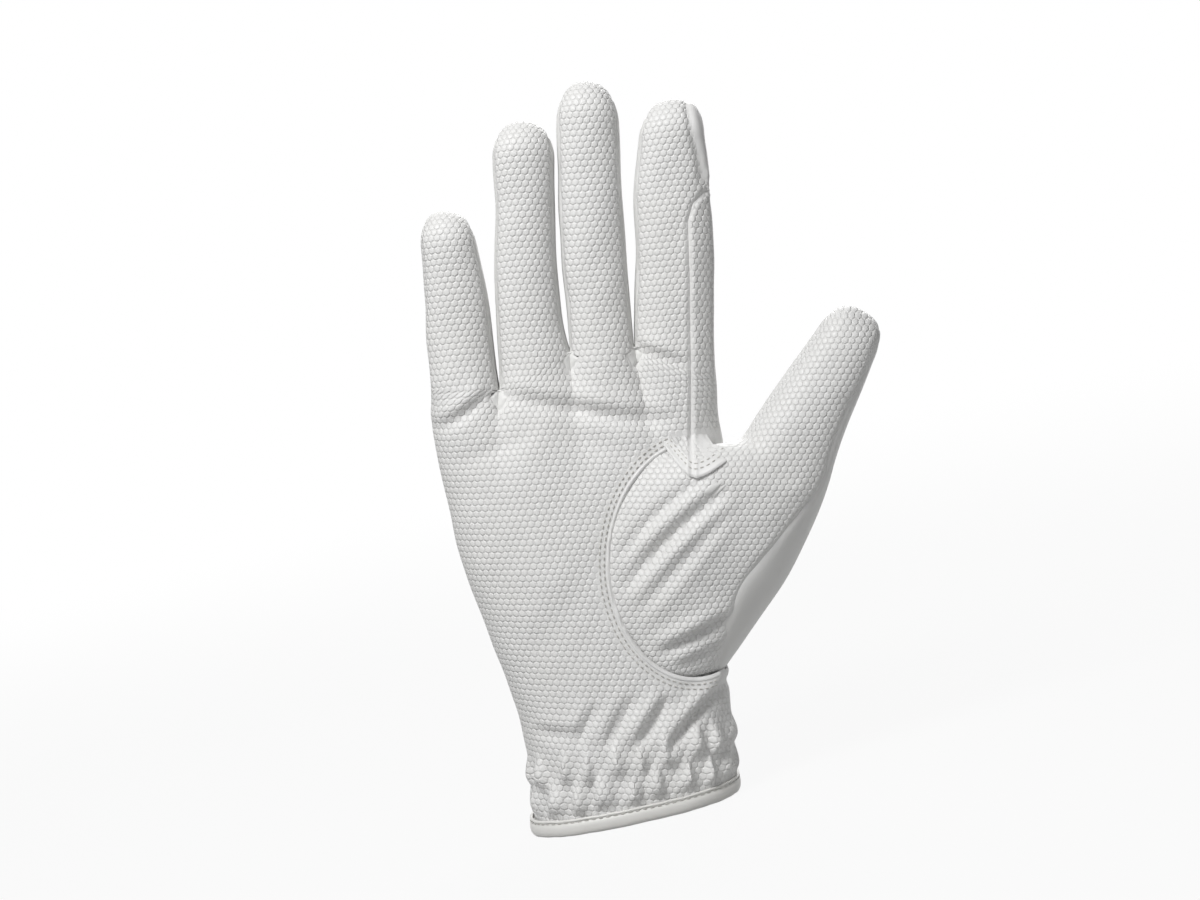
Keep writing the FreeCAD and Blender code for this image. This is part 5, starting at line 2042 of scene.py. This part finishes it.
    def flap(self, front: Sheet, rows: int = 30, columns: int = 66, top: float = 121.5,
             thumb_top: float = 116.0, rounds: int = 12) -> Object:
        """Corner of the palm's leather that laps over the thumb's between the oval and the crotch.

        Args:
            front: the thumb's front sheet.
            rows: number of rows.
            columns: number of columns.
            top: height at which it leaves the palm.
            thumb_top: height below which it also lies on the thumb.
            rounds: how often it is evened out.

        Returns:
            The piece, riding on the hand.
        """
        down = np.linspace(0.0, 1.0, rows)[:, None]
        left, right = CUT.leg[0][0], mix(20.0, CUT.leg[-1][0], down ** 1.3)
        x = left + (right - left) * np.linspace(0.0, 1.0, columns)
        foot = np.interp(x, *zip(*CUT.leg))
        z = top + (foot - top) * down
        places = np.stack([x, z], -1).reshape(-1, 2)
        palm, thumb = (skin_at(sheet, places, blur=1.0)[:, 1].reshape(rows, columns)
                       for sheet in (self.panels.palm, front))
        y = np.minimum(palm, np.where(z < thumb_top, thumb, palm))
        for _ in range(rounds):
            edged = np.pad(y, 1, mode="edge")
            mean = (edged[:-2, 1:-1] + edged[2:, 1:-1] + edged[1:-1, :-2] + edged[1:-1, 2:]) / 4
            y = np.minimum(y, mean)
        above = z - foot
        lift = mix(-0.45, 0.8, smoothstep(0.0, 10.0, top - z))
        edge = smoothstep(-1.2, 1.4, x - left) * smoothstep(-1.0, 3.5, right - x)
        lift = lift * edge - 0.45 * (1 - edge)
        lift = lift + 0.45 * bell(above, 0.8, 0.6)
        beside = np.abs(x - CUT.patch_line[0][0])
        lift = lift - 0.35 * (1 - smoothstep(0.0, 0.9, beside)) + 0.30 * bell(beside, 1.35, 0.55)
        grid = np.stack([x, y - lift, z], -1)[::-1]
        sheet = Sheet(grid, chart_of(grid, columns // 4), thickness=0.9)
        sheet.flattened(above[::-1], 4.2, 5.6).flattened(beside[::-1], *PATCH_PRESS)
        sheet.pressed(0.9 * smoothstep(6.0, 2.5, (right - x)[::-1]))
        self.lap = sheet
        obj = leather_piece("thumb_crotch_lap", [sheet], Finish.EMBOSSED)
        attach(obj, "hand")
        return obj

    def gusset(self, front: Sheet) -> Object:
        """Folded diamond of leather at the crotch of the thumb.

        Args:
            front: the thumb's front sheet.

        Returns:
            The piece, riding on the hand.
        """
        x, z = CUT.seam(0.0)
        left, low, right, top = (np.array((x + dx, z + dz)) for dx, dz in self.gusset_corners)
        n = self.gusset_points
        v, u = np.meshgrid(spread(0.0, 1.0, n), spread(0.0, 1.0, n), indexing="ij")
        a, b = u[..., None], v[..., None]
        flat = mix(mix(low, right, a), mix(left, top, a), b).reshape(-1, 2)
        grid = skin_at(front, flat, blur=1.2).reshape(n, n, 3)
        grid[..., 1] -= 0.75 * (16 * u * (1 - u) * v * (1 - v)) ** 0.5 - 0.3 - 0.4 * bell(v, 0.3, 0.1)
        sheet = Sheet(grid, chart_of(grid, 12), thickness=0.8)
        obj = leather_piece("thumb_gusset", [sheet], Finish.SMOOTH)
        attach(obj, "hand")
        return obj


def cuff_point(angle: float, height: float, offset: float) -> Array:
    """Point near the cuff at a height above its edge, offset out from the skin."""
    low, high = PALM[0], PALM[2]
    t = height / math.hypot(high.x - low.x, high.z - low.z)
    here = Station(*[mix(getattr(low, f), getattr(high, f), t)
                     for f in ("x", "z", "half_width", "half_depth", "tilt")])
    return here.point(angle, offset)


def on_back(across: float, height: float, offset: float) -> Array:
    """Point over the back of the cuff from places across and above its edge.

    Args:
        across: place across, level with the cuff's edge.
        height: height above the edge.
        offset: distance out from the skin.

    Returns:
        The point in the hand's plane.
    """
    level, ux = height, across / PALM[0].half_width
    point = cuff_point(180.0, level, offset)
    for _ in range(12):
        point = cuff_point(180.0 - section_angle(ux, 0.999), level, offset)
        found = stood(*plane(point))
        ux += (across - found[0]) / 33.0
        level += height - found[1]
    return point


def swept(name: str, bands: Sequence[Array], finish: Finish) -> Object:
    """A piece that stands for the node of its name, from bands of rings.

    Args:
        name: piece and node name.
        bands: arrays (rings, points, 3) in the hand's plane, one for each closed band.
        finish: its finish.

    Returns:
        The object, not yet riding on a body.
    """
    vertices, faces = [], []
    for rings in bands:
        band, corners = closed_band(rings)
        faces += [[i + len(vertices) for i in face] for face in corners]
        vertices += band.tolist()
    obj = outward(mesh_object(name, np.array(vertices), faces, [finish.material()]))
    return finish.dress(obj, name)


@dataclass
class Bindings:
    """Hem binding, slit binding and the wrist elastic of the cuff; all ride on the hand."""

    hem: tuple[Pair, ...] = (
        (0.20, 4.20), (0.62, 4.28), (0.98, 4.10), (1.06, 3.80), (0.92, 3.50), (0.66, 3.28), (0.88, 3.02),
        (1.14, 2.50), (1.24, 1.70), (1.20, 0.80), (1.02, -0.10), (0.60, -0.78), (-0.10, -1.02),
        (-0.95, -1.00), (-1.75, -0.72), (-2.15, 0.10), (-2.20, 2.00), (-2.10, 3.90), (-1.70, 4.15),
        (-1.36, 3.90), (-1.34, 2.00), (-1.32, 0.00), (-0.60, -0.12), (0.16, 0.00), (0.20, 2.00))
    slit: tuple[Pair, ...] = (
        (-0.85, -0.45), (-0.60, 0.45), (0.05, 0.98), (1.20, 1.15), (2.35, 1.05), (2.95, 0.62), (2.95, 0.22),
        (1.50, 0.20), (0.10, 0.18), (0.10, -0.55), (0.10, -1.32), (1.50, -1.34), (2.95, -1.36),
        (2.95, -1.75), (2.35, -2.15), (1.20, -2.20), (0.05, -2.05), (-0.60, -1.50))
    elastic_heights: Pair = (17.0, 27.0)
    elastic_width: float = 6.0
    elastic_angle: float = 72.0
    hem_ends: Pair = (-174.3, 179.4)
    groove: Pair = (0.92, 3.26)

    def slit_path(self) -> list[tuple[float, float, float, float]]:
        """Edge of the slit.

        Returns:
            Place across, height, and the same two parts of the way out, for each point.
        """
        half, centre = CUT.slit_half, CUT.slit_top - CUT.slit_half
        path = [(CUT.slit_x + half, h, 1.0, 0.0) for h in spread(4.6, centre, 44)]
        for turn in spread(0.0, math.pi, 15)[1:-1]:
            c, s = math.cos(turn), math.sin(turn)
            path.append((CUT.slit_x + half * c, centre + half * s, c, s))
        return path + [(CUT.slit_x - half, h, -1.0, 0.0) for h in spread(centre, 4.6, 44)]

    def build(self, stitching: Stitching) -> list[Object]:
        """Make the pieces.

        Args:
            stitching: how stitches are laid.

        Returns:
            The objects.
        """
        turns = spread(*self.hem_ends, 320)
        rings = np.array([[cuff_point(a, h + 0.05 * math.sin(a * 0.21) + 0.04 * math.sin(a * 0.47), o)
                           for o, h in self.hem] for a in turns])
        made = [swept("hem_binding", [rings], Finish.BINDING)]
        path = self.slit_path()
        rings = np.array([[on_back(a + u * w, h + v * w, o) for w, o in self.slit] for a, h, u, v in path])
        made += [swept("slit_binding", [rings], Finish.BINDING), self.elastic()]
        hem_line = np.array([cuff_point(a, self.groove[1], self.groove[0]) for a in turns[2:-2]])
        slit_line = np.array([on_back(a + u * 2.1, h + v * 2.1, 1.16) for a, h, u, v in path])
        made.append(stitching.row("binding_stitches", [hem_line, slit_line], 1.5, 0.8))
        for obj in made:
            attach(obj, "hand")
        return made

    def elastic(self) -> Object:
        """The two elastic tapes inside the palm side of the cuff.

        Returns:
            Both, as one piece.
        """
        half, thick, depth = self.elastic_width / 2, 0.4, -2.15
        turns = spread(-self.elastic_angle, self.elastic_angle, 150)
        bands = []
        for height in self.elastic_heights:
            ring = []
            for t in spread(0.0, 2 * math.pi, 19)[:-1]:
                c, s = math.cos(t), math.sin(t)
                ring.append((depth + thick * signed_power(s, 0.5),
                             height + half + half * signed_power(c, 0.3)))
            bands.append(np.array([[cuff_point(a, h, o - 0.12 * math.sin(a * 1.7)) for o, h in ring]
                                   for a in turns]))
        return swept("wrist_elastic", bands, Finish.ELASTIC)


@dataclass
class WristTab:
    """Hook-and-loop tab over the slit: anchor and loop pad on the hand, tab and hook pad on the tab."""

    hinge: float = 16.0
    length: float = 41.0
    width: float = 22.0
    middle: float = 24.0
    radius: float = 9.0
    anchor: float = 7.0
    pad_margin: float = 2.5
    pad_length: float = 14.0
    gap: float = 0.25
    tab_levels: Pair = (2.1, 3.6)
    hook_levels: Pair = (1.3, 2.05)
    loop_levels: Pair = (0.28, 1.0)
    anchor_levels: Pair = (0.3, 3.6)
    anchor_radius: float = 1.2
    anchor_inset: float = 1.6
    stitch_inset: float = 1.9
    stitch_level: float = 3.62

    def plate(self, name: str, start: float, end: float, width: float, radius: float, levels: Pair,
              finish: Finish) -> Object:
        """Plate across the back of the cuff with a rounded end.

        Args:
            name: node and piece name.
            start: place across of its straight end.
            end: place across of its rounded end.
            width: its width.
            radius: rounding of the corners at the end.
            levels: offsets of its underside and its top.
            finish: its finish.

        Returns:
            The object.
        """
        low, high = levels
        sign, run = (1.0 if end > start else -1.0), abs(end - start)
        rim, middle = (high - low) / 2, (high + low) / 2
        rings = []
        for t in spread(0.0, 1.0, 70):
            gone = run * (1 - (1 - t) ** 1.35)
            left = run - gone
            half = width / 2
            if left < radius:
                half += -radius + math.sqrt(max(0.0, radius ** 2 - (radius - left) ** 2))
            inside = min(1.0, min(gone + 0.1, left + 0.02) / rim)
            edge = min(1.0, max(0.05, math.sqrt(max(0.0, 1 - (1 - inside) ** 2))))
            ring = []
            for turn in spread(0.0, 2 * math.pi, 49)[:-1]:
                c, s = math.cos(turn), math.sin(turn)
                v, o = signed_power(c, 0.35), signed_power(s, 0.45) * rim * edge
                if s > 0 and high - low > 1.2:
                    o -= 0.14 * math.exp(-((half * (1 - abs(v)) - self.stitch_inset) / 0.5) ** 2)
                ring.append(on_back(start + sign * gone, self.middle + v * max(0.2, half), middle + o))
            rings.append(ring)
        return swept(name, [np.array(rings)], finish)

    def build(self, stitching: Stitching) -> list[Object]:
        """Make the pieces.

        Args:
            stitching: how stitches are laid.

        Returns:
            The objects, each on its body.
        """
        end = self.hinge - self.length
        hook_end, pad = end + self.pad_margin, self.width - 2 * self.pad_margin
        start, radius = hook_end + self.pad_length, self.radius - self.pad_margin
        tab = self.plate("closure_tab", self.hinge - self.gap, end, self.width, self.radius,
                         self.tab_levels, Finish.SMOOTH)
        hook = self.plate("hook_pad", start, hook_end, pad, radius, self.hook_levels, Finish.HOOK)
        loop = self.plate("loop_pad", start, hook_end - self.pad_margin / 2, pad, radius,
                          self.loop_levels, Finish.LOOP)
        anchor = self.plate("tab_anchor", self.hinge + self.gap, self.hinge + self.anchor, self.width,
                            self.anchor_radius, self.anchor_levels, Finish.SMOOTH)
        rim = stitching.row("tab_stitches", [self.rim_line(end)], 1.6, 0.9)
        near, far = self.hinge + self.anchor_inset, self.hinge + self.anchor - self.anchor_inset
        half = self.width / 2 - self.stitch_inset
        box = self.densely([(near, -half), (near, half), (far, half), (far, -half), (near, -half)])
        seam = stitching.row("anchor_stitches", [self.stitched(box)], 1.5, 0.8)
        for obj in (tab, hook, rim):
            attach(obj, "tab")
        for obj in (loop, anchor, seam):
            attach(obj, "hand")
        return [tab, hook, rim, loop, anchor, seam]

    @staticmethod
    def densely(corners: Sequence[Pair]) -> list[Pair]:
        """Points along straight runs.

        Args:
            corners: ends of the runs.

        Returns:
            Points close enough to follow the cuff.
        """
        found = []
        for a, b in zip(corners, corners[1:]):
            found += [(mix(a[0], b[0], t), mix(a[1], b[1], t)) for t in spread(0.0, 1.0, 12)[:-1]]
        return found + [corners[-1]]

    def stitched(self, path: Sequence[Pair]) -> Array:
        """Points on top of the tab for places across and along it."""
        return np.array([on_back(a, self.middle + h, self.stitch_level) for a, h in path])

    def rim_line(self, end: float) -> Array:
        """Line of stitches a little inside the tab's outline.

        Args:
            end: place across of the tab's rounded end.

        Returns:
            Points in the hand's plane.
        """
        radius, half = self.radius - self.stitch_inset, self.width / 2 - self.stitch_inset
        centre = end + self.radius
        path = self.densely([(self.hinge - 1.8, half), (centre, half)])
        turns = spread(0.0, math.pi / 2, 12)
        path += [(centre - radius * math.sin(t), half - radius + radius * math.cos(t)) for t in turns[1:]]
        path += [(centre - radius * math.cos(t), -half + radius - radius * math.sin(t)) for t in turns]
        path += self.densely([(centre, -half), (self.hinge - 1.8, -half)])[1:]
        return self.stitched(path)


@dataclass
class Studio:
    """Pale sweep, soft light and the camera."""

    aim: tuple[float, float, float] = (-11.2, 0.0, 112.2)
    distance: float = 1.0
    elevation: float = 5.5
    lens: float = 96.8
    white: float = 0.38
    wide: float = 9.0
    far: float = 1.6
    curve: float = 0.8
    sky: float = 0.27
    fade: tuple[float, float, float, float] = (0.35, 1.1, 0.92, 1.0)
    target: tuple[float, float, float] = (0.0, 0.0, 0.11)
    lamps: tuple[tuple[str, tuple[float, float, float], float, float], ...] = (
        ("key", (-0.28, -0.55, 0.78), 0.32, 8.0), ("fill", (0.6, -1.0, 0.2), 0.7, 1.1),
        ("rear", (0.3, 0.9, 0.7), 0.7, 8.0))

    def sweep(self) -> None:
        """Floor that curves up into a backdrop."""
        low = min(v[2] for v in CAD_BOX)
        bend = [(self.far + self.curve * math.sin(t), self.curve - self.curve * math.cos(t))
                for t in spread(0.0, math.pi / 2, 17)]
        path = [(-self.wide, 0.0), *bend, (bend[-1][0], self.wide)]
        vertices = [(x, y, z + low) for y, z in path for x in (-self.wide, self.wide)]
        faces = [(2 * i, 2 * i + 1, 2 * i + 3, 2 * i + 2) for i in range(len(path) - 1)]
        material, tree, shader = new_material("sweep")
        tree.fill(shader, Base_Color=(self.white, self.white, self.white, 1.0), Roughness=0.9,
                  Specular_IOR_Level=0.1)
        glow = tree.fill(tree.add("ShaderNodeEmission"), Strength=1.0)
        away = tree.vector("LENGTH", tree.place()).node.outputs["Value"]
        seen = tree.math("MULTIPLY", self.seen(tree), tree.ramp(away, *self.fade))
        both = tree.add("ShaderNodeMixShader")
        for socket, source in zip(both.inputs, (seen, shader.outputs[0], glow.outputs[0])):
            tree.join(source, socket)
        tree.join(both.outputs[0], material.node_tree.nodes["Material Output"].inputs["Surface"])
        mesh_object("sweep", np.array(vertices), faces, [material])

    @staticmethod
    def seen(tree: Node) -> Socket:
        """1 for rays from the camera, off gloss or through glass."""
        path = tree.add("ShaderNodeLightPath")
        direct = tree.math("MAXIMUM", path.outputs["Is Camera Ray"], path.outputs["Is Glossy Ray"])
        return tree.math("MAXIMUM", direct, path.outputs["Is Transmission Ray"])

    def lights(self) -> None:
        """Soft boxes and an even sky."""
        world = bpy.data.worlds.new("studio")
        world.use_nodes = True
        bpy.context.scene.world = world
        tree = Node(world.node_tree)
        strength = tree.math("MAXIMUM", self.seen(tree), self.sky)
        tree.fill(world.node_tree.nodes["Background"], Strength=strength, Color=(1.0, 1.0, 1.0, 1.0))
        for name, place, size, power in self.lamps:
            lamp = bpy.data.lights.new(name, "AREA")
            lamp.size = size
            lamp.energy = power
            obj = placed(name, lamp)
            obj.location = place
            obj.rotation_euler = (Vector(self.target) - Vector(place)).to_track_quat("-Z", "Y").to_euler()

    def camera(self) -> None:
        """Camera in front of the palm, rolled upright in the hand's plane."""
        data = bpy.data.cameras.new("camera")
        data.sensor_width = 36.0
        data.lens = self.lens
        obj = placed("camera", data)
        aim = Vector(upright(np.array(self.aim)))
        up = Vector((LEAN_SIN, 0.0, LEAN_COS))
        lift = math.radians(self.elevation)
        back = Vector((0.0, -1.0, 0.0)) * math.cos(lift) + up * math.sin(lift)
        right = up.cross(back).normalized()
        turn = Matrix((right, back.cross(right), back)).transposed()
        obj.matrix_world = Matrix.Translation(aim + back * self.distance) @ turn.to_4x4()
        bpy.context.scene.camera = obj

    def build(self) -> None:
        """Set the stage."""
        self.sweep()
        self.lights()
        self.camera()
        bpy.context.scene.view_settings.view_transform = "Standard"


def palm_stitches(panels: HandPanels, thumb: ThumbStall, stitching: Stitching) -> Object:
    """Two rows of stitches on the palm outside the thumb's oval seam and its short leg.

    Args:
        panels: the hand's leather.
        thumb: the thumb, with the lap at its crotch.
        stitching: how stitches are laid.

    Returns:
        The piece, riding on the hand.
    """
    lines = [skin_at(panels.palm, np.array([CUT.seam(t, grow) for t in spread(0.175, 0.98, 150)]), 0.2)
             for grow in (2.0, 3.4)]
    for above in (2.7, 4.3):
        places = np.array([(x, CUT.leg_height(x) + above) for x in spread(10.5, 26.0, 40)])
        lines.append(skin_at(thumb.lap, places, 0.1))
    obj = stitching.row("thumb_oval_stitches", lines, 1.25, 0.75)
    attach(obj, "hand")
    return obj


def report(group: str, made: Sequence[Object]) -> None:
    """Log the pieces of a sub-assembly."""
    for obj in made:
        LOG.info("%s: %s, %d faces", group, obj.name, len(obj.data.polygons))


def main() -> None:
    """Build the glove and its stage."""
    logging.basicConfig(level=logging.INFO)
    Studio().build()
    stitching = Stitching()
    panels = HandPanels()
    report("hand", panels.build())
    stalls = [FingerStall(d, panels.finger_fronts[d.name], panels.finger_backs[d.name]) for d in FINGERS]
    for stall in stalls:
        report(stall.digit.name, stall.build())
    report("crotches", [CrotchSaddle(a, b).build() for a, b in zip(stalls, stalls[1:])])
    thumb = ThumbStall(panels)
    report("thumb", thumb.build())
    report("cuff", Bindings().build(stitching))
    report("tab", WristTab().build(stitching))
    report("stitches", [palm_stitches(panels, thumb, stitching)])


if __name__ == "__main__":
    main()
